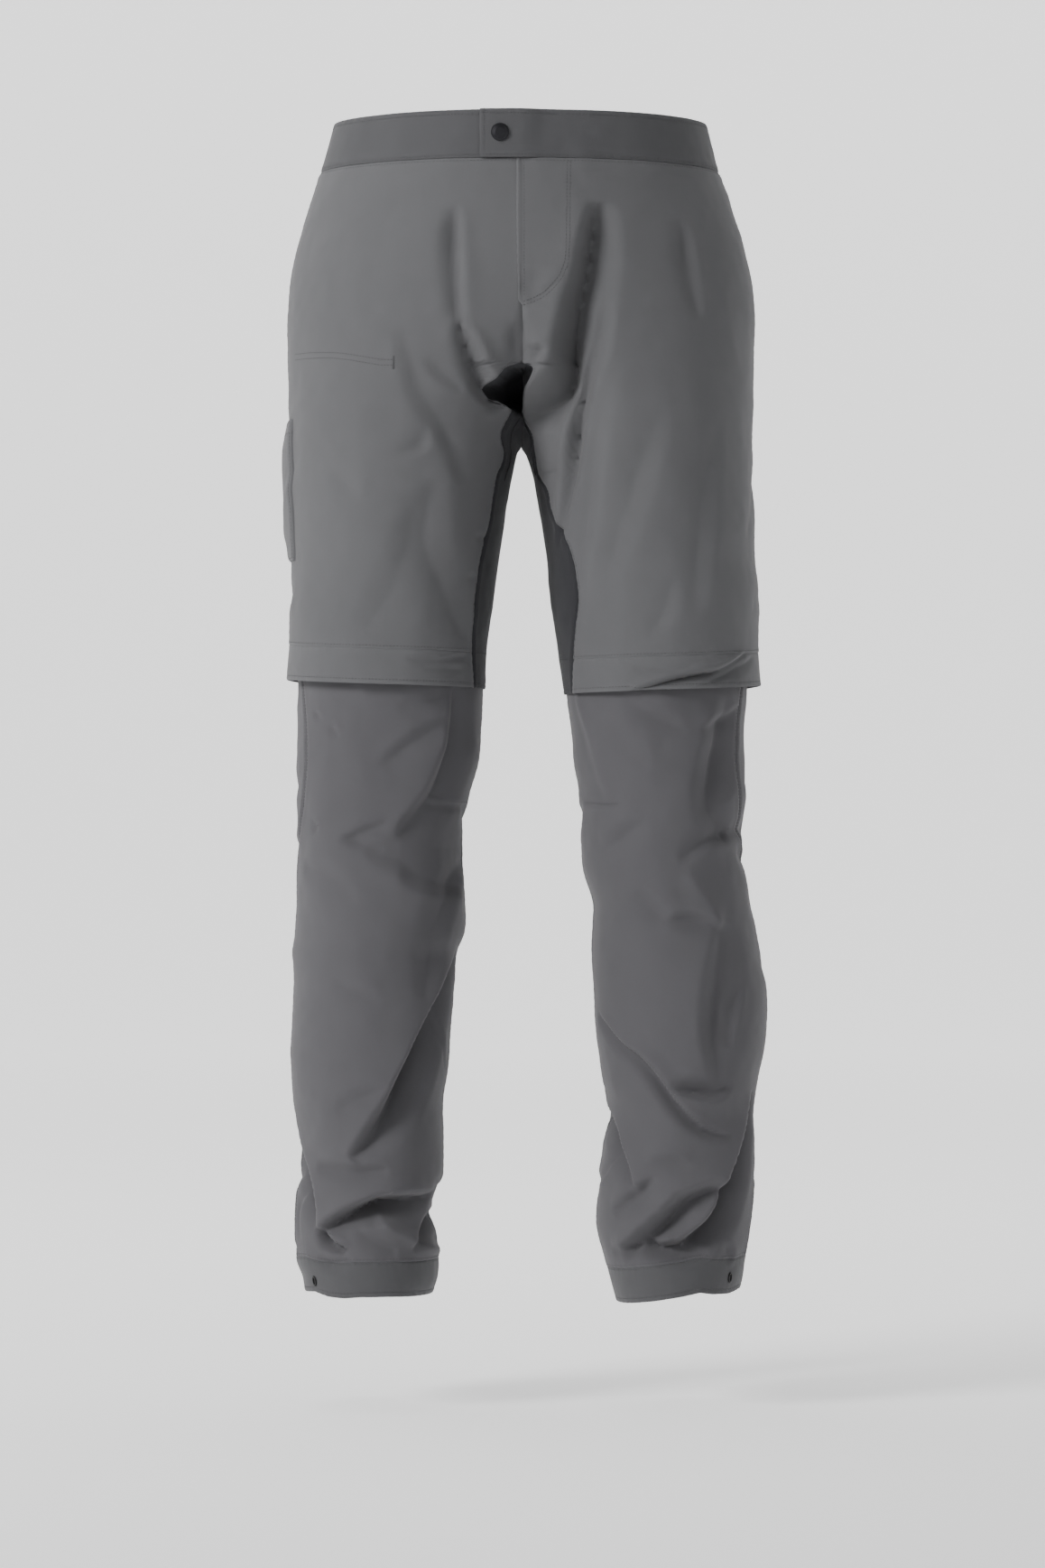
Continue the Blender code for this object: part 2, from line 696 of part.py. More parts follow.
def round_columns():
    """Columns once round a lower leg, as shares of the front and back panels."""
    columns = [(column / SHIN_FRONT_COLUMNS, "front") for column in range(SHIN_FRONT_COLUMNS)]
    columns += [(column / SHIN_BACK_COLUMNS, "back") for column in range(SHIN_BACK_COLUMNS, 0, -1)]
    return columns


def hem_band(leg):
    """Turned-up hem of the lower leg, a double band."""
    grid = []
    for row in range(HEM_ROWS + 1):
        above = mix(HEM_DEPTH - SEAM_GAP, 0.0, row / HEM_ROWS)
        places = []
        for share, face in round_columns():
            nominal = math.pi * share if face == "front" else -math.pi * share
            height = hem_height(leg, nominal, above)
            places.append((leg, "shin", height, shin_angle(height, share, face, 0.0)))
        grid.append(places)
    return wall("hem_" + leg, grid, "band cloth", closed=True, thickness=DOUBLE_CLOTH)


def leg_zip(leg):
    """Zip ring from the inside of the thigh panels down to the lower leg's top edge."""
    foot = zip_foot(leg)
    top_lift = -CLOTH - STEP_CLEARANCE
    top_outer, top_inner, foot_outer, foot_inner = [], [], [], []
    for share, face in round_columns():
        angle = shin_angle(foot, share, face, 0.0)
        turn = abs(angle) / math.pi
        top = flap_line(leg, "flap_stitch", turn) + ZIP_TOP_LIFT
        points = lifted(leg, "thigh", top, angle, (top_lift, top_lift - CLOTH))
        top_outer.append(points[0])
        top_inner.append(points[1])
        points = lifted(leg, "shin", foot, angle, (0.0, -CLOTH))
        foot_outer.append(points[0])
        foot_inner.append(points[1])
    outer = [top_outer, [mix(a, b, 0.5) for a, b in zip(top_outer, foot_outer)], foot_outer]
    inner = [top_inner, [mix(a, b, 0.5) for a, b in zip(top_inner, foot_inner)], foot_inner]
    return cloth_solid("leg_zip_" + leg, outer, inner, True, "zip tape")


def front_place(x, height):
    """Place on the front of the hips at a distance across."""
    leg = "left" if x > 0 else "right"
    return leg, "thigh", height, angle_at(leg, "thigh", height, abs(x), "front")


def free_points(place, lifts):
    """Points over or under one place that may cross the middle plane."""
    point, normal = leg_surface(*place), leg_normal(*place)
    return [point + normal * lift for lift in lifts]


def waistband():
    """Double band once round the waist, its left end lapped over the right end."""
    tab = [(-TAB_LENGTH, TAB_LIFT), (-TAB_LENGTH / 2, TAB_LIFT), (0.0, TAB_LIFT)]
    shares = [(column / FRONT_COLUMNS, "front") for column in range(FRONT_COLUMNS - 1, 0, -1)]
    shares += [(column / BACK_COLUMNS, "back") for column in range(BACK_COLUMNS)]
    outer, inner = [], []
    for height in (0.0, -BAND_DEPTH / 2, -BAND_DEPTH):
        columns = [(front_place(x, height), lift) for x, lift in tab]
        for share, face in shares:
            angle = panel_angle("left", height, share, face)
            reach = leg_surface("left", "thigh", height, angle).x
            lapped = face == "front" and reach < TAB_RAMP
            columns.append((("left", "thigh", height, angle), TAB_LIFT if lapped else 0.0))
        columns.append((("right", "thigh", height, -math.pi / 2), 0.0))
        for share, face in reversed(shares):
            columns.append((("right", "thigh", height, panel_angle("right", height, share, face)), 0.0))
        columns.append((front_place(-SEAM_GAP, height), 0.0))
        pairs = [free_points(place, (lift, lift - DOUBLE_CLOTH)) for place, lift in columns]
        outer.append([pair[0] for pair in pairs])
        inner.append([pair[1] for pair in pairs])
    return cloth_solid("waistband", outer, inner, False, "band cloth")


def fly_facing():
    """Facing inside the left front, sewn down by the curved fly stitching."""
    outer, inner = [], []
    lift = -CLOTH - STEP_CLEARANCE
    for row in range(FLY_ROWS + 1):
        height = thigh_height("left", row, 0.0)
        down = max(0.0, (row - FLY_STRAIGHT_ROWS) / (FLY_ROWS - FLY_STRAIGHT_ROWS))
        width = mix(FLY_FOOT_WIDTH, FLY_WIDTH, math.sqrt(1 - down**2))
        outer_row, inner_row = [], []
        for column in range(FLY_COLUMNS + 1):
            place = front_place(mix(2 * SEAM_GAP, width, column / FLY_COLUMNS), height)
            points = lifted(*place, (lift, lift - CLOTH))
            outer_row.append(points[0])
            inner_row.append(points[1])
        outer.append(outer_row)
        inner.append(inner_row)
    return cloth_solid("fly_facing", outer, inner, False, "thigh cloth")


def fly_zip():
    """Zip tape behind the middle front, under the facing."""
    outer, inner = [], []
    lift = -2 * CLOTH - 2 * STEP_CLEARANCE
    for row in range(FLY_ROWS + 1):
        height = thigh_height("left", row, 0.0) if row else ZIP_TAPE_TOP
        pairs = [free_points(front_place(ZIP_TAPE_WIDTH * step / 2, height), (lift, lift - CLOTH))
                 for step in (-1, 0, 1)]
        outer.append([pair[0] for pair in pairs])
        inner.append([pair[1] for pair in pairs])
    return cloth_solid("fly_zip", outer, inner, False, "zip tape")


def side_pocket():
    """Patch pocket over the right outseam, with an open hollow under it."""
    shares = [(column / BACK_COLUMNS, "back") for column in range(POCKET_BACK_COLUMNS, 0, -1)]
    shares += [(column / FRONT_COLUMNS, "front") for column in range(POCKET_FRONT_COLUMNS + 1)]
    rows = [row for row in range(HIP_ROWS, HIP_ROWS + THIGH_ROWS)
            if POCKET_BOTTOM - 0.01 < thigh_height("right", row, 0.0) < POCKET_TOP + 0.01]
    outer, inner = [], []
    for index, row in enumerate(rows):
        down = index / (len(rows) - 1)
        outer_row, inner_row = [], []
        for column, (share, face) in enumerate(shares):
            place = thigh_place("right", row, share, face)
            if share == 0:
                place = (*place[:3], 0.0)
            round_share = column / (len(shares) - 1)
            fullness = POCKET_FULLNESS * math.sin(math.pi * round_share) ** POCKET_ROUND_ACROSS
            lift = SEAM_GAP + fullness * math.sin(math.pi * down) ** POCKET_ROUND_DOWN
            points = lifted(*place, (lift + CLOTH, lift))
            outer_row.append(points[0])
            inner_row.append(points[1])
        outer.append(outer_row)
        inner.append(inner_row)
    return cloth_solid("side_pocket_right", outer, inner, False, "thigh cloth")


def local_frame(normal, up=Vector((0.0, 0.0, 1.0))):
    """Three directions of a small piece: across, up along the cloth, and out."""
    across = up.cross(normal).normalized()
    return across, normal.cross(across).normalized(), normal


def place_point(origin, frame, across, up, out):
    return origin + frame[0] * across + frame[1] * up + frame[2] * out


def turned_button(name, origin, normal, profile, finish):
    """Round cap turned from a short profile of radius and height."""
    steps = SNAP_STEPS
    frame = local_frame(normal)
    points, faces = [], []
    for ring_radius, out in profile:
        for step in range(steps):
            angle = 2 * math.pi * step / steps
            points.append(place_point(origin, frame, ring_radius * math.cos(angle),
                                      ring_radius * math.sin(angle), out))
    for ring in range(len(profile) - 1):
        for step in range(steps):
            near, far = step, (step + 1) % steps
            faces.append([ring * steps + near, ring * steps + far,
                          (ring + 1) * steps + far, (ring + 1) * steps + near])
    faces.append(list(range(steps)))
    faces.append(list(range((len(profile) - 1) * steps, len(profile) * steps)))
    return solid_object(name, points, faces, finish)


def slider(name, origin, normal, finish):
    """Zip slider and its pull tab, as one plate of stepped outline."""
    outline = list(SLIDER_OUTLINE) + [(-across, up) for across, up in reversed(SLIDER_OUTLINE)]
    frame = local_frame(normal)
    count = len(outline)
    points = [place_point(origin, frame, across, up, out)
              for out in (0.0, SLIDER_DEPTH) for across, up in outline]
    faces = [list(range(count)), list(range(count, 2 * count))]
    for index in range(count):
        following = (index + 1) % count
        faces.append([index, following, count + following, count + index])
    return solid_object(name, points, faces, finish)


def eyelet(leg):
    """Oval ring set in the hem, open through its middle."""
    name = "hem_eyelet_" + leg
    angle = math.pi * (EYELET_COLUMN[leg] + 0.5) / SHIN_FRONT_COLUMNS
    height = hem_height(leg, angle, EYELET_RISE)
    place = leg, "shin", height, angle
    normal = leg_normal(*place)
    origin = leg_surface(*place) + normal * (SEAM_GAP + EYELET_RIM * EYELET_FLATNESS)
    frame = local_frame(normal)
    long_steps, round_steps = EYELET_STEPS, EYELET_RIM_STEPS
    points, faces = [], []
    for step in range(long_steps):
        turn = 2 * math.pi * step / long_steps
        for corner in range(round_steps):
            rim = 2 * math.pi * corner / round_steps
            reach = EYELET_RIM * math.cos(rim)
            points.append(place_point(origin, frame, (EYELET_HALF_WIDTH + reach) * math.cos(turn),
                                      (EYELET_HALF_HEIGHT + reach) * math.sin(turn),
                                      EYELET_RIM * EYELET_FLATNESS * math.sin(rim)))
    for step in range(long_steps):
        following = (step + 1) % long_steps
        for corner in range(round_steps):
            after = (corner + 1) % round_steps
            faces.append([step * round_steps + corner, following * round_steps + corner,
                          following * round_steps + after, step * round_steps + after])
    return solid_object(name, points, faces, "eyelet")


def leg_zip_slider(leg):
    """Slider on the zip ring, under the flap at the outer side."""
    foot = zip_foot(leg)
    turn = math.radians(SLIDER_TURN)
    outer_foot, = lifted(leg, "shin", foot, turn, (0.0,))
    top = flap_line(leg, "flap_stitch", turn / math.pi) + ZIP_TOP_LIFT
    outer_top, = lifted(leg, "thigh", top, turn, (-CLOTH - STEP_CLEARANCE,))
    up = (outer_top - outer_foot).normalized()
    across = Vector((-math.sin(turn) * LEGS[leg]["side"], -math.cos(turn), 0.0))
    normal = across.cross(up).normalized()
    if normal.x * LEGS[leg]["side"] < 0:
        normal.negate()
    origin = mix(outer_top, outer_foot, SLIDER_SHARE) + normal * SEAM_GAP
    return slider("leg_zip_slider_" + leg, origin, normal, "zip slider")


def fly_zip_slider():
    place = front_place(SEAM_GAP, ZIP_TAPE_TOP - FLY_SLIDER_DROP)
    normal = leg_normal(*place)
    lift = -3 * CLOTH - 2 * STEP_CLEARANCE - SEAM_GAP
    origin = leg_surface(*place) + normal * lift
    return slider("fly_zip_slider", origin, -normal, "zip slider")


def waist_snap():
    place = front_place(-TAB_LENGTH / 2, -BAND_DEPTH / 2)
    normal = leg_normal(*place)
    origin = leg_surface(*place) + normal * (TAB_LIFT + SEAM_GAP)
    return turned_button("waist_snap", origin, normal, SNAP_PROFILE, "snap")


def build():
    remove_scene_objects()
    waistband()
    waist_snap()
    fly_facing()
    fly_zip()
    fly_zip_slider()
    for leg in LEGS:
        thigh_panel(leg, "front")
        thigh_panel(leg, "back")
        gusset(leg)
        zip_flap(leg)
        leg_zip(leg)
        leg_zip_slider(leg)
        shin_panel(leg, "front")
        shin_panel(leg, "back")
        hem_band(leg)
        eyelet(leg)
    side_pocket()


build()
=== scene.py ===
import math

import bpy
import numpy as np
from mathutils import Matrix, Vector
from mathutils.bvhtree import BVHTree


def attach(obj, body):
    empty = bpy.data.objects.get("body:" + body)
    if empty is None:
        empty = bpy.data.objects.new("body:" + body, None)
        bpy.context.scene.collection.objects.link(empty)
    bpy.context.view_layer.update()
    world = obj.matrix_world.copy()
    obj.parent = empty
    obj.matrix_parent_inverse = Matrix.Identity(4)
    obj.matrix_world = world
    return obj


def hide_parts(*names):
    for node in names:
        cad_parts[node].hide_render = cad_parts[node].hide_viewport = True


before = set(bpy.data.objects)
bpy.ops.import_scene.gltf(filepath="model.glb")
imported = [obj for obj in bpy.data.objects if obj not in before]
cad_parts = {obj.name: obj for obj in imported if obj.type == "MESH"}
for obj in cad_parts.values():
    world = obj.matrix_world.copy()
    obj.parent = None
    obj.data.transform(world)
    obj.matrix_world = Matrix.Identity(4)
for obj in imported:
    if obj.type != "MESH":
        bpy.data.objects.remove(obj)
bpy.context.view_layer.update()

# Sizes shared by the pieces, in metres
seamGap = 0.0003
clothWall = 0.0009
bandWall = 0.0018
bandDepth = 0.042
forkHeight = -0.2195
crotchHeight = -0.281
hemDepth = 0.031
panelShare = 0.83
zipTopLift = 0.010
zipFootDrop = 0.020
gridStep = 0.0028
edgeSteps = (0.0, 0.0008, 0.0017, 0.0028, 0.0042, 0.0062)
kneeLevel = -0.499
sharpAngle = 75

# Depth of the figure. Columns: height, front, back, squareness of the oval
upperDepth = (
    (0.000, 0.118, 0.118, 2.00), (-0.042, 0.121, 0.124, 2.00), (-0.090, 0.122, 0.135, 2.05),
    (-0.150, 0.120, 0.143, 2.10), (-0.212, 0.116, 0.140, 2.15), (-0.281, 0.112, 0.128, 2.15),
    (-0.344, 0.108, 0.115, 2.15), (-0.420, 0.102, 0.101, 2.15), (-0.465, 0.098, 0.094, 2.15),
    (-0.505, 0.096, 0.092, 2.15),
)
lowerDepth = (
    (-0.455, 0.0915, 0.0880, 2.15), (-0.505, 0.0885, 0.0850, 2.15), (-0.560, 0.0850, 0.0760, 2.15),
    (-0.620, 0.0800, 0.0740, 2.10), (-0.700, 0.0740, 0.0830, 2.10), (-0.780, 0.0690, 0.0880, 2.10),
    (-0.860, 0.0630, 0.0880, 2.05), (-0.940, 0.0570, 0.0870, 2.05), (-1.000, 0.0540, 0.0880, 2.05),
    (-1.045, 0.0530, 0.0900, 2.05),
)

# Outlines measured outwards from the middle plane. Columns: height, inner edge, outer edge
rightThigh = (
    (0.000, -0.166, 0.166), (-0.042, -0.177, 0.177), (-0.090, -0.192, 0.1925), (-0.128, -0.186, 0.2025),
    (-0.164, -0.145, 0.2064), (-0.196, -0.096, 0.2064), (-0.212, -0.070, 0.2062), (-0.250, -0.017, 0.2060),
    (-0.281, 0.0002, 0.2058), (-0.312, 0.0066, 0.2054), (-0.344, 0.0128, 0.2048), (-0.386, 0.0188, 0.2034),
    (-0.432, 0.0252, 0.2044), (-0.462, 0.0292, 0.2060), (-0.500, 0.0299, 0.2072),
)
rightShin = (
    (-0.455, 0.0330, 0.1975), (-0.498, 0.0324, 0.1986), (-0.534, 0.0344, 0.1986), (-0.564, 0.0379, 0.1986),
    (-0.592, 0.0456, 0.1986), (-0.609, 0.0488, 0.1986), (-0.647, 0.0520, 0.1986), (-0.688, 0.0488, 0.1986),
    (-0.716, 0.0504, 0.2002), (-0.732, 0.0571, 0.2026), (-0.758, 0.0592, 0.2010), (-0.802, 0.0624, 0.2040),
    (-0.838, 0.0650, 0.2040), (-0.864, 0.0690, 0.2016), (-0.906, 0.0685, 0.1952), (-0.931, 0.0695, 0.1971),
    (-0.963, 0.0806, 0.2004), (-0.981, 0.0762, 0.2010), (-1.005, 0.0736, 0.1994), (-1.020, 0.0745, 0.1936),
    (-1.040, 0.0790, 0.1912),
)
leftThigh = (
    (0.000, -0.166, 0.166), (-0.042, -0.177, 0.177), (-0.090, -0.192, 0.1930), (-0.128, -0.186, 0.2035),
    (-0.164, -0.145, 0.2080), (-0.196, -0.096, 0.2074), (-0.212, -0.070, 0.2070), (-0.250, -0.017, 0.2060),
    (-0.281, 0.0002, 0.2056), (-0.312, 0.0112, 0.2064), (-0.344, 0.0168, 0.2076), (-0.386, 0.0236, 0.2085),
    (-0.416, 0.0256, 0.2120), (-0.445, 0.0300, 0.2108), (-0.480, 0.0342, 0.2108), (-0.503, 0.0372, 0.2120),
)
leftShin = (
    (-0.455, 0.0380, 0.2000), (-0.498, 0.0396, 0.2010), (-0.534, 0.0440, 0.1990), (-0.568, 0.0474, 0.1996),
    (-0.586, 0.0512, 0.2006), (-0.609, 0.0524, 0.1982), (-0.636, 0.0536, 0.1952), (-0.659, 0.0552, 0.1998),
    (-0.688, 0.0640, 0.2036), (-0.705, 0.0637, 0.2070), (-0.732, 0.0621, 0.2128), (-0.765, 0.0643, 0.2176),
    (-0.798, 0.0664, 0.2184), (-0.821, 0.0690, 0.2160), (-0.845, 0.0722, 0.2110), (-0.872, 0.0784, 0.2072),
    (-0.904, 0.0734, 0.2072), (-0.940, 0.0688, 0.2072), (-0.967, 0.0672, 0.2060), (-0.985, 0.0696, 0.2032),
    (-1.014, 0.0776, 0.1981), (-1.045, 0.0860, 0.1935),
)

# Front and back seams of the stretch panel. Columns: height, distance from the middle plane
rightFrontSeam = (
    (-0.2190, 0.0000), (-0.2205, 0.0100), (-0.2245, 0.0165), (-0.2386, 0.0283), (-0.2433, 0.0260),
    (-0.2499, 0.0203), (-0.2538, 0.0115), (-0.2561, 0.0080), (-0.2632, 0.0110), (-0.2741, 0.0164),
    (-0.2824, 0.0167), (-0.2918, 0.0137), (-0.3023, 0.0150), (-0.3109, 0.0190), (-0.3242, 0.0219),
    (-0.3414, 0.0244), (-0.3602, 0.0280), (-0.3962, 0.0368), (-0.4314, 0.0411), (-0.5050, 0.0411),
)
leftFrontSeam = (
    (-0.2190, 0.0000), (-0.2205, 0.0100), (-0.2225, 0.0117), (-0.2295, 0.0094), (-0.2381, 0.0052),
    (-0.2487, 0.0016), (-0.2569, 0.0000), (-0.2632, 0.0024), (-0.2770, 0.0094), (-0.2918, 0.0117),
    (-0.3094, 0.0147), (-0.3255, 0.0227), (-0.3414, 0.0254), (-0.3766, 0.0415), (-0.4126, 0.0482),
    (-0.4424, 0.0478), (-0.4643, 0.0455), (-0.5050, 0.0455),
)
rightBackSeam = (
    (-0.2190, 0.0000), (-0.2400, 0.0110), (-0.2810, 0.0200), (-0.3120, 0.0280), (-0.3550, 0.0360),
    (-0.3920, 0.0430), (-0.4280, 0.0480), (-0.5050, 0.0500),
)
leftBackSeam = (
    (-0.2190, 0.0000), (-0.2400, 0.0110), (-0.2810, 0.0200), (-0.3120, 0.0290), (-0.3380, 0.0360),
    (-0.3720, 0.0430), (-0.4090, 0.0500), (-0.5050, 0.0540),
)

# Turn of the lower outseam towards the front. Columns: height, degrees
shinOutseam = (
    (-0.455, 14.0), (-0.510, 26.0), (-0.570, 29.0), (-0.610, 22.0), (-0.660, 6.0), (-0.720, 0.0),
    (-0.900, 3.0), (-0.960, 12.0), (-1.050, 18.0),
)

# Each leg's own sizes. hemWave lists how far the hem's edge rises, by degrees round the leg
legs = {
    "right": {"side": -1, "thigh": rightThigh, "shin": rightShin, "frontSeam": rightFrontSeam,
              "backSeam": rightBackSeam, "flapStitch": -0.4590, "flapEdge": -0.4900, "flapDrop": 0.0085,
              "hem": -1.0335, "hemTilt": 0.0010,
              "hemWave": ((-180, 0), (-120, 2.0), (-60, -1.0), (0, 0.5), (22, 2.5), (40, -0.5), (58, -1.0),
                          (75, 0.8), (100, 1.2), (135, 0.6), (180, 0))},
    "left": {"side": 1, "thigh": leftThigh, "shin": leftShin, "frontSeam": leftFrontSeam,
             "backSeam": leftBackSeam, "flapStitch": -0.4660, "flapEdge": -0.4955, "flapDrop": 0.0080,
             "hem": -1.0365, "hemTilt": 0.0055,
             "hemWave": ((-180, 0), (-130, 1.5), (-70, -1.0), (0, 1.0), (22, -0.5), (45, 1.5), (60, 4.8),
                         (78, 3.2), (105, 1.5), (140, 0.3), (180, 0))},
}

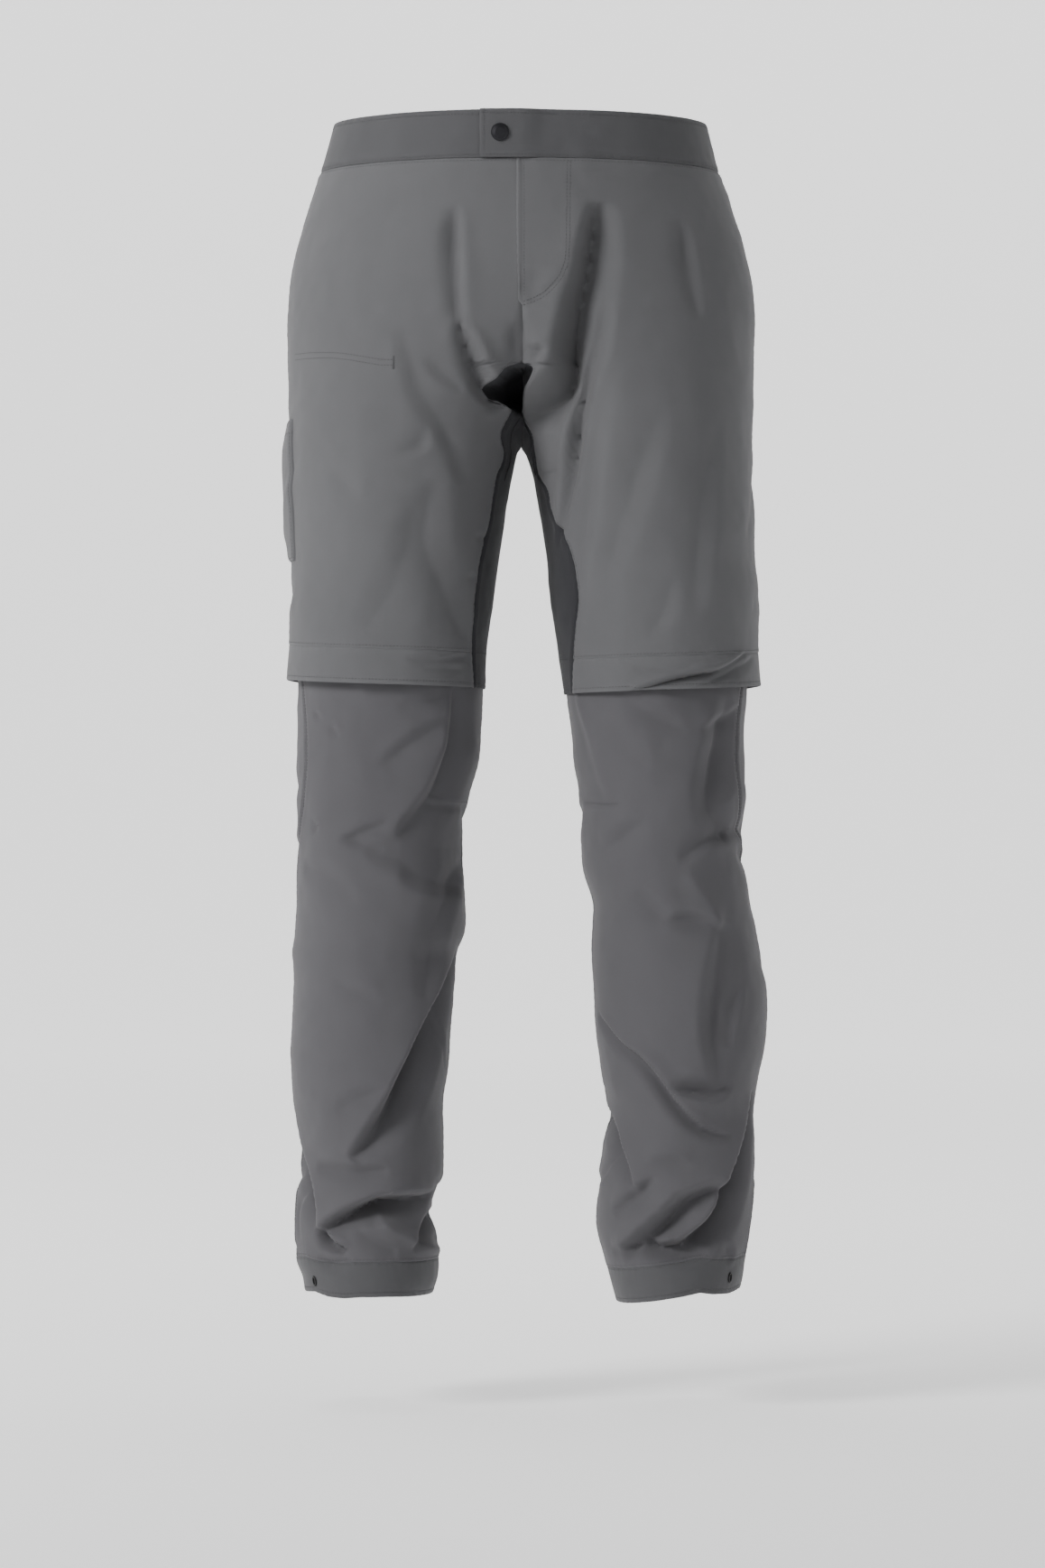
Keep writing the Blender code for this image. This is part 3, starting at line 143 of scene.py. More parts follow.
# Folds. The path is the trough's line, in millimetres across and up in the front view, or, where
# the face is "round", in degrees round the leg and millimetres up. The lip lies on its left hand,
# seen from outside. Depth, lip and width are in millimetres, and a small sharp makes the lip's side steep.
# Each leg and face has its own rows. Columns: depth, lip, width, sharp, path
folds = {
    ("right", "front"): (
        (6, 2, 8, 0.6, ((-55, -84), (-55, -112), (-54, -140), (-53, -162), (-50, -186))),
        (10, 4, 8, 0.6, ((-51, -182), (-48, -192), (-40, -211), (-32, -228), (-23, -243), (-18, -256))),
        (3, 0.8, 4, 0.7, ((-44, -188), (-38, -204), (-28, -229))),
        (3, 0, 6, 1, ((-1, -182), (-3, -203), (-6, -221))),
        (2.4, 1.2, 13, 0.7, ((-51, -322), (-67, -280), (-92, -240), (-106, -191))),
        (2.2, 1, 8, 0.7, ((-51, -242), (-68, -230), (-84, -216))),
        (1.6, 0.7, 6, 0.7, ((-81, -273), (-84, -290), (-106, -299))),
        (3.5, 1.2, 17, 1, ((-75, -317), (-82, -370), (-68, -408), (-58, -435), (-48, -456))),
        (1.2, 0.5, 4, 0.7, ((-40, -366), (-28, -366))),
        (1, 0.4, 4, 0.7, ((-51, -402), (-38, -401))),
        (1.4, 0.8, 9, 1, ((-165, -312), (-152, -324), (-142, -338))),
        (1.6, 0.8, 14, 1, ((-138, -451), (-107, -404), (-90, -341))),
        (1.4, 0.9, 4, 0.5, ((-99, -472), (-72, -474), (-46, -469))),
        (1.2, 0.7, 4, 0.6, ((-84, -482), (-48, -481))),
        (1, 0.4, 3, 0.6, ((-181, -520), (-173, -524))),
        (1.4, 0.6, 4, 0.6, ((-166, -531), (-162, -536), (-158, -540))),
        (1.6, 0.6, 4, 0.6, ((-183, -616), (-177, -622))),
        (1.4, 0.5, 3, 0.5, ((-82, -594), (-76, -599), (-64, -600), (-45, -601))),
        (2.2, 1.2, 9, 0.7, ((-122, -567), (-96, -545), (-61, -524))),
        (1.4, 0.7, 10, 0.7, ((-107, -513), (-84, -509), (-60, -499))),
        (7.5, 3, 17, 0.4, ((-108, -630), (-102, -617), (-81, -592), (-67, -563), (-61, -541),
         (-59, -496))),
        (2.4, 1.4, 7, 0.5, ((-160, -631), (-141, -623), (-117, -615))),
        (2, 0.8, 5, 0.6, ((-155, -629), (-140, -632), (-119, -638))),
        (3.2, 1.5, 12, 0.7, ((-51, -675), (-75, -672), (-95, -664), (-106, -654), (-136, -644))),
        (3, 0, 22, 1, ((-100, -627), (-76, -638), (-51, -639))),
        (3, 1.2, 12, 0.8, ((-48, -643), (-61, -681), (-69, -703), (-75, -732), (-84, -772))),
        (1.8, 1, 12, 0.8, ((-191, -655), (-169, -661), (-143, -688))),
        (1.4, 0.8, 9, 0.7, ((-162, -754), (-141, -764), (-121, -770))),
        (18, 4, 17, 0.34, ((-151, -909), (-140, -895), (-127, -876), (-114, -857), (-101, -832),
         (-87, -802), (-72, -768), (-58, -731))),
        (1, 0.8, 3, 0.6, ((-72, -768), (-68, -795), (-66, -836))),
        (5, 1.6, 9, 0.7, ((-179, -917), (-148, -921), (-116, -919))),
        (2, 1, 9, 0.8, ((-162, -867), (-140, -855), (-117, -847))),
        (17, 4, 10, 0.35, ((-179, -976), (-165, -964), (-151, -956), (-137, -950), (-121, -945),
         (-100, -944), (-78, -944))),
        (9, 3, 5, 0.45, ((-179, -974), (-167, -983), (-151, -991))),
        (-5, 0, 6, 1, ((-124, -955), (-118, -970), (-103, -979), (-89, -988), (-73, -997))),
        (9, 2, 7, 0.5, ((-96, -991), (-89, -978), (-85, -968), (-78, -959))),
        (2.5, 1.5, 6, 0.6, ((-179, -996), (-165, -1000), (-149, -996))),
        (2.2, 1.2, 7, 0.7, ((-143, -973), (-124, -982), (-108, -992))),
        (7, 2, 9, 0.35, ((-201, -867), (-193, -905), (-187, -926), (-183, -944), (-179, -974))),
        (2, 1, 5, 0.6, ((-189, -940), (-195, -960), (-194, -984))),
    ),
    ("left", "front"): (
        (24, 3, 15, 0.75, ((4, -260), (24, -245), (36, -228), (42, -203), (47, -179), (51, -162),
         (57, -139), (62, -110), (66, -80))),
        (3, 0, 6, 1, ((1, -182), (3, -203), (6, -221))),
        (-2.2, 0, 5, 1, ((41, -207), (47, -187), (52, -166))),
        (8, 2.6, 7, 0.6, ((32, -372), (36, -336), (41, -296), (46, -265), (54, -231), (63, -208),
         (69, -186), (73, -166))),
        (3.5, 1.6, 9, 0.8, ((140, -92), (148, -137), (156, -178))),
        (1.4, 0.6, 4, 0.6, ((18, -308), (32, -307))),
        (2.6, 0.9, 4, 0.6, ((4, -201), (13, -205), (23, -204))),
        (2.6, 0.8, 4, 0.6, ((17, -205), (16, -212), (12, -219))),
        (1.1, 0.5, 2.4, 0.8, ((3, -166), (11, -163), (20, -158), (28, -150), (35, -140), (39, -120))),
        (1.6, 0, 7, 1, ((15, -137), (12, -152), (7, -166))),
        (3, 1.8, 14, 0.7, ((77, -224), (67, -279), (59, -341), (53, -396), (50, -443))),
        (2.2, 1.2, 15, 0.8, ((124, -259), (106, -310), (88, -365), (74, -412))),
        (1.8, 1, 14, 0.8, ((174, -271), (164, -326), (156, -388), (154, -435))),
        (1.4, 0.8, 9, 0.8, ((134, -404), (126, -435), (112, -456))),
        (5.5, 2.4, 5, 0.35, ((96, -500), (112, -496), (126, -492), (153, -486), (174, -482),
         (196, -468))),
        (2, 1.2, 5, 0.5, ((153, -498), (174, -489), (190, -479), (204, -471))),
        (1.4, 0.8, 5, 0.6, ((96, -481), (128, -484), (151, -479))),
        (1.8, 1, 10, 0.6, ((92, -507), (116, -520), (145, -535))),
        (2.2, 1.2, 13, 0.8, ((68, -527), (89, -548), (112, -568))),
        (-2.4, 0, 6, 1, ((48, -505), (56, -525), (63, -546), (71, -573), (79, -597))),
        (1.4, 0.4, 2.6, 0.5, ((84, -602), (73, -602), (56, -601))),
        (7, 1.2, 17, 0.65, ((180, -631), (164, -612), (160, -594), (165, -567), (172, -535),
         (180, -509))),
        (2.4, 1.2, 7, 0.5, ((156, -535), (169, -529), (181, -523), (192, -513))),
        (1.6, 0.6, 4, 0.6, ((176, -631), (182, -624))),
        (3.6, 1.4, 10, 0.55, ((201, -624), (185, -628), (171, -632), (157, -639), (140, -652))),
        (2.4, 1.2, 10, 0.8, ((72, -639), (89, -625), (108, -612))),
        (3, 1.6, 8, 0.55, ((127, -702), (138, -698), (151, -698), (163, -702), (176, -709))),
        (-3.2, 0, 9, 1, ((143, -657), (155, -675), (168, -694), (176, -710))),
        (2.4, 1.4, 11, 0.8, ((102, -675), (114, -690), (132, -704))),
        (5.5, 2.2, 19, 0.45, ((170, -848), (165, -817), (163, -788), (167, -746), (174, -704))),
        (2, 1.4, 6, 0.5, ((196, -759), (188, -789), (185, -813))),
        (7, 2.8, 6, 0.4, ((69, -784), (73, -791), (88, -810), (102, -820), (115, -833), (128, -850),
         (141, -866), (156, -880), (168, -887), (183, -891))),
        (6, 2, 9, 0.4, ((185, -850), (171, -857), (152, -855), (130, -851))),
        (7, 2.2, 9, 0.35, ((73, -852), (78, -870), (85, -887), (89, -902), (98, -929), (102, -941))),
        (0.9, 0.6, 3, 0.6, ((89, -902), (80, -919), (69, -938))),
        (4.6, 2.2, 8, 0.6, ((81, -957), (97, -944), (116, -927))),
        (2.4, 1.4, 8, 0.7, ((110, -916), (129, -911), (149, -916))),
        (13, 4, 12, 0.55, ((86, -992), (102, -981), (126, -962), (141, -947), (156, -939), (168, -935),
         (183, -936))),
        (19, 4.5, 13, 0.34, ((106, -982), (119, -986), (134, -985), (146, -980), (163, -968), (173, -954),
         (179, -940), (189, -917), (197, -888), (204, -855))),
        (3, 1.6, 6, 0.6, ((80, -993), (89, -990), (100, -984))),
        (2.2, 1.2, 6, 0.7, ((129, -996), (148, -992), (168, -995))),
        (1.8, 1, 5, 0.7, ((181, -984), (186, -996), (183, -1006))),
    ),
    ("right", "back"): (
        (6, 3, 16, 0.5, ((-150, -262), (-120, -274), (-80, -284), (-40, -262))),
        (4.5, 2.5, 13, 0.6, ((-46, -292), (-78, -306), (-118, -300))),
        (5, 2.5, 15, 0.5, ((-170, -330), (-110, -350), (-50, -330))),
        (3, 1.5, 12, 0.7, ((-60, -388), (-100, -372), (-150, -392))),
        (3.5, 2, 15, 0.7, ((-64, -112), (-82, -160), (-92, -222))),
        (2.5, 1.5, 11, 0.8, ((-150, -104), (-158, -150), (-150, -206))),
        (2, 1.2, 9, 0.7, ((-24, -150), (-30, -186), (-26, -214))),
        (2, 1.2, 11, 0.8, ((-116, -410), (-96, -432), (-70, -446))),
        (5, 3, 10, 0.4, ((-185, -548), (-140, -560), (-90, -552), (-60, -540))),
        (8, 4, 12, 0.35, ((-188, -566), (-150, -580), (-104, -578), (-58, -560))),
        (4, 2, 7, 0.5, ((-150, -596), (-118, -590), (-88, -596))),
        (8, 4, 12, 0.38, ((-60, -610), (-100, -600), (-145, -606), (-188, -620))),
        (4.5, 2.5, 10, 0.5, ((-70, -640), (-112, -632), (-160, -648))),
        (6, 3, 15, 0.45, ((-185, -728), (-130, -736), (-96, -716), (-68, -690))),
        (3, 1.6, 12, 0.7, ((-178, -790), (-150, -768), (-116, -762))),
        (3, 1.6, 14, 0.7, ((-90, -830), (-110, -790), (-118, -752))),
        (10, 4, 13, 0.32, ((-190, -908), (-150, -930), (-112, -922), (-80, -896))),
        (4, 2, 9, 0.5, ((-178, -880), (-150, -872), (-124, -880))),
        (9, 4, 11, 0.35, ((-84, -978), (-112, -968), (-150, -966), (-188, -980))),
        (4, 2, 7, 0.5, ((-96, -948), (-120, -940), (-150, -948))),
    ),
    ("right", "round"): (
        (1.6, 0.4, 12, 0.6, ((28, -300), (4, -330), (-18, -372))),
        (1.4, 0.3, 11, 0.7, ((20, -410), (-10, -425), (-40, -420))),
        (2.2, 0.6, 12, 0.5, ((14, -585), (-14, -600), (-44, -596))),
        (2.4, 0.8, 11, 0.45, ((-46, -632), (-16, -640), (16, -626))),
        (2, 0.5, 13, 0.6, ((6, -740), (-20, -772), (-44, -790))),
        (3, 0.8, 11, 0.4, ((20, -930), (-8, -944), (-40, -934))),
        (2.2, 0.6, 9, 0.5, ((-40, -990), (-12, -984), (14, -992))),
        (2, 0.4, 11, 0.5, ((164, -600), (186, -610), (212, -604))),
        (2.4, 0.5, 11, 0.45, ((168, -930), (190, -940), (214, -930))),
    ),
    ("left", "back"): (
        (6, 3, 16, 0.5, ((40, -264), (80, -288), (118, -282), (152, -262))),
        (4, 2, 12, 0.6, ((128, -306), (90, -314), (52, -296))),
        (5, 2.5, 15, 0.5, ((55, -322), (110, -346), (172, -334))),
        (3, 1.6, 13, 0.7, ((150, -372), (112, -390), (70, -376))),
        (3.5, 2, 14, 0.7, ((92, -216), (78, -160), (66, -108))),
        (2.5, 1.4, 11, 0.8, ((146, -214), (154, -160), (148, -112))),
        (2, 1.1, 9, 0.7, ((22, -210), (28, -176), (22, -140))),
        (2.2, 1.2, 10, 0.8, ((76, -440), (108, -424), (132, -398))),
        (5, 2.6, 10, 0.4, ((64, -538), (96, -550), (146, -556), (188, -546))),
        (8, 4, 12, 0.35, ((66, -560), (112, -574), (156, -578), (190, -568))),
        (4, 2, 7, 0.5, ((160, -598), (130, -594), (100, -588))),
        (8, 4, 12, 0.38, ((188, -612), (140, -620), (104, -618), (64, -602))),
        (4, 2.2, 10, 0.5, ((178, -652), (132, -640), (86, -644))),
        (6, 3, 16, 0.45, ((82, -706), (118, -738), (160, -740), (196, -722))),
        (3, 1.6, 12, 0.7, ((92, -770), (130, -784), (168, -776))),
        (3, 1.6, 14, 0.7, ((150, -742), (160, -790), (158, -838))),
        (10, 4, 13, 0.32, ((84, -888), (120, -914), (158, -912), (196, -892))),
        (4, 2, 9, 0.5, ((110, -868), (140, -876), (172, -862))),
        (8, 4, 11, 0.35, ((190, -974), (160, -962), (124, -962), (88, -978))),
        (4, 2, 7, 0.5, ((172, -942), (146, -934), (118, -944))),
    ),
    ("left", "round"): (
        (1.2, 0.2, 12, 0.6, ((-24, -296), (0, -322), (26, -366))),
        (1.2, 0.2, 11, 0.7, ((-36, -430), (-6, -420), (24, -428))),
        (2, 0.5, 12, 0.5, ((-40, -586), (-12, -594), (18, -580))),
        (3.4, 1, 12, 0.45, ((24, -640), (-6, -648), (-38, -636))),
        (1.6, 0.4, 13, 0.6, ((-42, -800), (-16, -770), (10, -744))),
        (2.4, 0.6, 11, 0.4, ((-44, -930), (-16, -944), (8, -930))),
        (2, 0.5, 9, 0.5, ((10, -990), (-14, -980), (-42, -988))),
        (2, 0.4, 11, 0.5, ((212, -596), (188, -606), (166, -598))),
        (2.4, 0.5, 11, 0.45, ((214, -920), (192, -934), (170, -924))),
    ),
}
foldLook = {"taper": 0.55, "endWidth": 0.4, "uneven": 0.16, "waves": 1.3, "phase": 1.7, "gain": 1.25,
            "bend": 0.0012, "reach": 2.1, "power": 1.6, "near": 3.2, "troughShift": 1.6,
            "crestShift": 2.2, "crestLean": 0.7, "crestWidth": 0.8}
# Soft drape all over. Columns: height, size of its waves, shift of its noise
drape = {"broad": (0.0011, 0.060, 0.3), "facet": (0.0011, 0.038, 5.1), "fine": (0.00032, 0.011, 9.7)}
# Seams: tuck is how far the wall's inside reaches under the next piece
seam = {"tuck": 0.0013, "roll": 0.0007, "rollReach": 0.0009, "allowance": 0.00045, "allowanceMiddle": 0.0046,
        "allowanceReach": 0.0030, "stitch": 0.0022, "freeStitch": 0.0040, "groove": 0.00028,
        "grooveReach": 0.0008, "freeRoll": 0.5, "pucker": 0.00022, "puckerLength": 0.0075,
        "puckerReach": 0.006, "puckerDrift": 41.0, "wearReach": 0.0035}
flyLook = {"foot": -0.170, "lift": 0.0013, "rollMiddle": 0.0012, "rollWidth": 0.0018,
           "groove": 0.0007, "grooveAt": 0.0048, "grooveWidth": 0.0016, "ease": 0.004}
archLook = {"height": -0.236, "reach": 0.016, "roll": 0.0020, "seamReach": 0.006}
# The middle line between the legs steps sideways at the front, so that nothing shows through it
middleKink = {"size": 0.0014, "foot": 0.285, "ease": 0.004, "back": 0.012, "fade": 0.016, "reach": 0.003}
noiseTable = np.random.default_rng(11).uniform(-1.0, 1.0, (37, 37, 37))


def ease(value):
    value = np.clip(value, 0.0, 1.0)
    return value * value * (3.0 - 2.0 * value)


def mix(first, second, share):
    return first + (second - first) * share


def signedPower(value, power):
    return np.sign(value) * np.abs(value) ** power


# Values of a table between its rows, on smooth curves through them
def readTable(table, heights):
    rows = np.array(table, float)
    levels, values = rows[:, 0], rows[:, 1:]
    slopes = np.empty_like(values)
    slopes[1:-1] = (values[2:] - values[:-2]) / (levels[2:] - levels[:-2])[:, None]
    slopes[0] = (values[1] - values[0]) / (levels[1] - levels[0])
    slopes[-1] = (values[-1] - values[-2]) / (levels[-1] - levels[-2])
    heights = np.clip(heights, levels[-1], levels[0])
    index = np.clip(np.searchsorted(-levels, -heights, side="right") - 1, 0, len(levels) - 2)
    span = (levels[index + 1] - levels[index])[..., None]
    share = (heights - levels[index])[..., None] / span
    return ((2 * share**3 - 3 * share**2 + 1) * values[index]
            + (share**3 - 2 * share**2 + share) * slopes[index] * span
            + (3 * share**2 - 2 * share**3) * values[index + 1]
            + (share**3 - share**2) * slopes[index + 1] * span)


def legOval(leg, tube, heights):
    outline = readTable(legs[leg]["shin" if tube == "shin" else "thigh"], heights)
    depth = readTable(lowerDepth if tube == "shin" else upperDepth, heights)
    inner, outer = outline[..., 0], outline[..., 1]
    front, back, square = depth[..., 0], depth[..., 1], depth[..., 2]
    return (inner + outer) / 2, (outer - inner) / 2, (back - front) / 2, (back + front) / 2, square


def angleAt(leg, tube, heights, distances, face):
    middle, halfWidth, _, _, square = legOval(leg, tube, heights)
    across = np.clip((distances - middle) / halfWidth, -1.0, 1.0)
    angle = np.arccos(signedPower(across, square / 2))
    return angle if face == "front" else -angle


def ovalPoint(leg, tube, heights, angles):
    heights, angles = np.broadcast_arrays(heights, angles)
    middle, halfWidth, centre, halfDepth, square = legOval(leg, tube, heights)
    cosine, sine = np.cos(angles), np.sin(angles)
    across = middle + halfWidth * signedPower(cosine, 2 / square)
    along = centre - halfDepth * signedPower(sine, 2 / square)
    outX = signedPower(cosine, 2 - 2 / square) / halfWidth
    outY = -signedPower(sine, 2 - 2 / square) / halfDepth
    size = np.hypot(outX, outY)
    side = legs[leg]["side"]
    point = np.stack([side * across, along, heights], -1)
    outward = np.stack([side * outX / size, outY / size, np.zeros_like(heights)], -1)
    return point, outward


def smoothLine(points, perSpan=7):
    points = np.array(points, float)
    padded = np.vstack([2 * points[0] - points[1], points, 2 * points[-1] - points[-2]])
    share = np.linspace(0.0, 1.0, perSpan, endpoint=False)[:, None]
    line = []
    for i in range(1, len(points)):
        a, b, c, d = padded[i - 1:i + 3]
        line.append(0.5 * (2 * b + (c - a) * share + (2 * a - 5 * b + 4 * c - d) * share**2
                           + (3 * b - a - 3 * c + d) * share**3))
    return np.vstack(line + [points[-1:]])


def foldPaths():
    made = []
    rows = [(leg, face, *row) for (leg, face), group in folds.items() for row in group]
    for number, (leg, face, depth, lip, width, sharp, path) in enumerate(rows):
        line = smoothLine(path)
        heights = line[:, 1] / 1000
        tube = "thigh" if heights.mean() > kneeLevel else "shin"
        if face == "round":
            angles = np.radians(line[:, 0])
        else:
            angles = angleAt(leg, tube, heights, legs[leg]["side"] * line[:, 0] / 1000, face)
        points, outward = ovalPoint(leg, tube, heights, angles)
        steps = points[1:] - points[:-1]
        lengths = np.linalg.norm(steps, axis=1)
        made.append({"leg": leg, "tube": tube, "depth": depth / 1000, "lip": lip / 1000,
                     "width": width / 1000, "sharp": sharp, "start": points[:-1], "step": steps,
                     "length": lengths, "run": np.concatenate([[0.0], np.cumsum(lengths)[:-1]]),
                     "left": np.cross(outward[:-1], steps), "low": points.min(0), "high": points.max(0),
                     "phase": number * foldLook["phase"]})
    return made


# Profile across a crease: round at its middle, falling off to nothing
def creased(across, width):
    bend = foldLook["bend"]
    away = (np.hypot(across, bend) - bend) / (foldLook["reach"] * width)
    return np.maximum(1 - away, 0.0) ** foldLook["power"]


# How far the folds lift or sink each point: a hollow along each path and a lip beside it
def foldRise(leg, tube, points):
    rise = np.zeros(len(points))
    for fold in foldLines:
        if fold["leg"] != leg or fold["tube"] != tube:
            continue
        reach = foldLook["near"] * fold["width"]
        inside = (points > fold["low"] - reach) & (points < fold["high"] + reach)
        near = np.flatnonzero(np.all(inside, axis=1))
        if not len(near):
            continue
        away = points[near][:, None] - fold["start"][None]
        along = np.clip((away * fold["step"]).sum(-1) / fold["length"] ** 2, 0.0, 1.0)
        away = away - along[..., None] * fold["step"]
        distance = np.linalg.norm(away, axis=-1)
        best = distance.argmin(1)
        pick = np.arange(len(near)), best
        side = np.where((away[pick] * fold["left"][best]).sum(-1) >= 0, 1.0, -1.0)
        share = (fold["run"][best] + along[pick] * fold["length"][best]) / fold["length"].sum()
        end = np.sin(math.pi * np.clip(share, 0.0, 1.0)) ** foldLook["taper"]
        width = fold["width"] * mix(foldLook["endWidth"], 1.0, end)
        steep = width * fold["sharp"]
        trough = -foldLook["troughShift"] * steep * (1 - fold["sharp"])
        crest = trough + steep * (foldLook["crestShift"] - foldLook["crestLean"] * fold["sharp"])
        across = side * distance[pick]
        hollow = creased(across - trough, np.where(across > trough, steep, width))
        raised = creased(across - crest, np.where(across < crest, foldLook["crestWidth"] * steep, width))
        wave = np.sin(2 * math.pi * foldLook["waves"] * share + fold["phase"])
        uneven = 1 + foldLook["uneven"] * wave
        rise[near] += foldLook["gain"] * (fold["lip"] * raised - fold["depth"] * hollow * uneven) * end
    return rise


def softNoise(points, size, shift):
    place = np.asarray(points) / size + shift
    base = np.floor(place).astype(int)
    share = place - base
    share = share * share * (3 - 2 * share)
    total = np.zeros(place.shape[:-1])
    for corner in range(8):
        step = np.array([corner & 1, corner >> 1 & 1, corner >> 2 & 1])
        weight = np.prod(np.where(step, share, 1 - share), axis=-1)
        cell = (base + step) % noiseTable.shape[0]
        total += weight * noiseTable[cell[..., 0], cell[..., 1], cell[..., 2]]
    return total


def softDrape(points):
    broad, facet, fine = (softNoise(points, size, shift) * height for height, size, shift in drape.values())
    return broad - np.abs(facet) + fine


def middleShift(points):
    above = ease((points[..., 2] + middleKink["foot"]) / middleKink["ease"])
    return middleKink["size"] * above * ease((middleKink["back"] - points[..., 1]) / middleKink["fade"])


# Points of the cloth as worn. The tube is thigh, shin, or hips, which follows the thigh without folds
def worn(leg, tube, heights, angles, crossing=False):
    points, outward = ovalPoint(leg, tube, heights, angles)
    flat = points.reshape(-1, 3)
    rise = (foldRise(leg, tube, flat) + softDrape(flat)).reshape(points.shape[:-1])
    points = points + outward * rise[..., None]
    if tube == "thigh":
        side = legs[leg]["side"]
        kept = side * np.maximum(side * points[..., 0], seamGap / 2)
        points[..., 0] = np.where(crossing, points[..., 0], kept)
        points[..., 0] += np.exp(-(points[..., 0] / middleKink["reach"]) ** 2) * middleShift(points)
    return points, outward, rise


def gridNormals(grid, outward, closed):
    if closed:
        across = np.roll(grid, -1, axis=1) - np.roll(grid, 1, axis=1)
    else:
        across = np.gradient(grid, axis=1)
    down = np.gradient(grid, axis=0)
    normal = np.cross(across, down)
    normal /= np.maximum(np.linalg.norm(normal, axis=-1, keepdims=True), 1e-12)
    if (normal * outward).sum() < 0:
        normal = -normal
    return normal


def gridArcs(grid, closed):
    across = np.linalg.norm(np.diff(grid, axis=1), axis=-1)
    down = np.linalg.norm(np.diff(grid, axis=0), axis=-1)
    left = np.concatenate([np.zeros((len(grid), 1)), np.cumsum(across, axis=1)], axis=1)
    top = np.concatenate([np.zeros((1, grid.shape[1])), np.cumsum(down, axis=0)], axis=0)
    far = np.full(grid.shape[:2], 9.0)
    return {"left": far if closed else left, "right": far if closed else left[:, -1:] - left,
            "top": top, "foot": top[-1:] - top, "across": left, "down": top}


def edgeDetail(arcs, edges):
    detail = np.zeros_like(arcs["top"])
    for edge, kind in edges.items():
        away = arcs[edge]
        along = arcs["down"] if edge in ("left", "right") else arcs["across"]
        if kind == "seam":
            detail -= seam["roll"] * np.exp(-(away / seam["rollReach"]) ** 2)
            fullness = np.exp(-((away - seam["allowanceMiddle"]) / seam["allowanceReach"]) ** 2)
            detail += seam["allowance"] * fullness
            detail -= seam["groove"] * np.exp(-((away - seam["stitch"]) / seam["grooveReach"]) ** 2)
        if kind == "turned":
            detail -= seam["groove"] * np.exp(-(away / seam["grooveReach"]) ** 2)
        if kind == "free":
            detail -= seam["roll"] * seam["freeRoll"] * np.exp(-(away / seam["rollReach"]) ** 2)
            detail -= seam["groove"] * np.exp(-((away - seam["freeStitch"]) / seam["grooveReach"]) ** 2)
        drift = 3 * np.sin(along * seam["puckerDrift"] + len(edge))
        wave = np.sin(2 * math.pi * along / seam["puckerLength"] + drift)
        detail += seam["pucker"] * wave * np.exp(-away / seam["puckerReach"])
    return detail


def spaced(length, step=gridStep, first=True, last=True):
    close = np.array(edgeSteps)
    start = close if first else close[:1]
    end = length - close[::-1] if last else np.array([length])
    count = max(3, int(round((end[0] - start[-1]) / step)) + 1)
    middle = np.linspace(start[-1], end[0], count)[1:-1]
    return np.concatenate([start, middle, end]) / length


def placed(name, data):
    item = bpy.data.objects.new(name, data)
    bpy.context.collection.objects.link(item)
    return item


# Shell between two grids, with the cloth's plan as UV and its edge and rise as attributes
def gridMesh(name, outer, inner, closed, arcs, rise):
    rows, columns = outer.shape[:2]
    points = np.concatenate([outer.reshape(-1, 3), inner.reshape(-1, 3)])
    under = rows * columns
    spans = columns if closed else columns - 1
    row, column = np.meshgrid(np.arange(rows - 1), np.arange(spans), indexing="ij")
    following = (column + 1) % columns
    top = np.stack([row * columns + column, row * columns + following,
                    (row + 1) * columns + following, (row + 1) * columns + column], -1).reshape(-1, 4)
    faces = [top, under + top[:, ::-1]]
    near = np.arange(spans)
    far = (near + 1) % columns
    last = (rows - 1) * columns
    faces.append(np.stack([far, near, under + near, under + far], -1))
    faces.append(np.stack([last + near, last + far, under + last + far, under + last + near], -1))
    if not closed:
        first = np.arange(rows - 1) * columns
        second = first + columns
        faces.append(np.stack([first, second, under + second, under + first], -1))
        first, second = first + columns - 1, second + columns - 1
        faces.append(np.stack([second, first, under + first, under + second], -1))
    faces = np.concatenate(faces)
    middle = outer[rows // 2, columns // 2]
    cornerNormal = np.cross(outer[rows // 2, (columns // 2 + 1) % columns] - middle,
                            outer[rows // 2 + 1, columns // 2] - middle)
    if cornerNormal @ (outer[rows // 2, columns // 2] - inner[rows // 2, columns // 2]) < 0:
        faces = faces[:, ::-1]
    mesh = bpy.data.meshes.new(name)
    mesh.vertices.add(len(points))
    mesh.vertices.foreach_set("co", points.astype(np.float32).ravel())
    mesh.loops.add(faces.size)
    mesh.loops.foreach_set("vertex_index", faces.astype(np.int32).ravel())
    mesh.polygons.add(len(faces))
    mesh.polygons.foreach_set("loop_start", np.arange(0, faces.size, 4, dtype=np.int32))
    mesh.update(calc_edges=True)
    mesh.validate()
    layer = mesh.uv_layers.new(name="cloth")
    plan = np.stack([arcs["across"], -arcs["down"]], -1).reshape(-1, 2)
    plan = np.concatenate([plan, plan + 0.37])
    layer.data.foreach_set("uv", plan[faces.ravel()].astype(np.float32).ravel())
    edge = np.minimum.reduce([arcs["left"], arcs["right"], arcs["top"], arcs["foot"]])
    for label, values in (("edge", np.exp(-edge / seam["wearReach"])), ("rise", rise)):
        attribute = mesh.attributes.new(label, "FLOAT", "POINT")
        both = np.concatenate([values.ravel(), values.ravel()])
        attribute.data.foreach_set("value", both.astype(np.float32))
    mesh.shade_smooth()
    mesh.set_sharp_from_angle(angle=math.radians(sharpAngle))
    return placed(name, mesh)


def finishPiece(item, material, slotName, *nodes):
    item.data.materials.clear()
    item.data.materials.append(material)
    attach(item, "root")
    if nodes:
        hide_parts(*nodes)


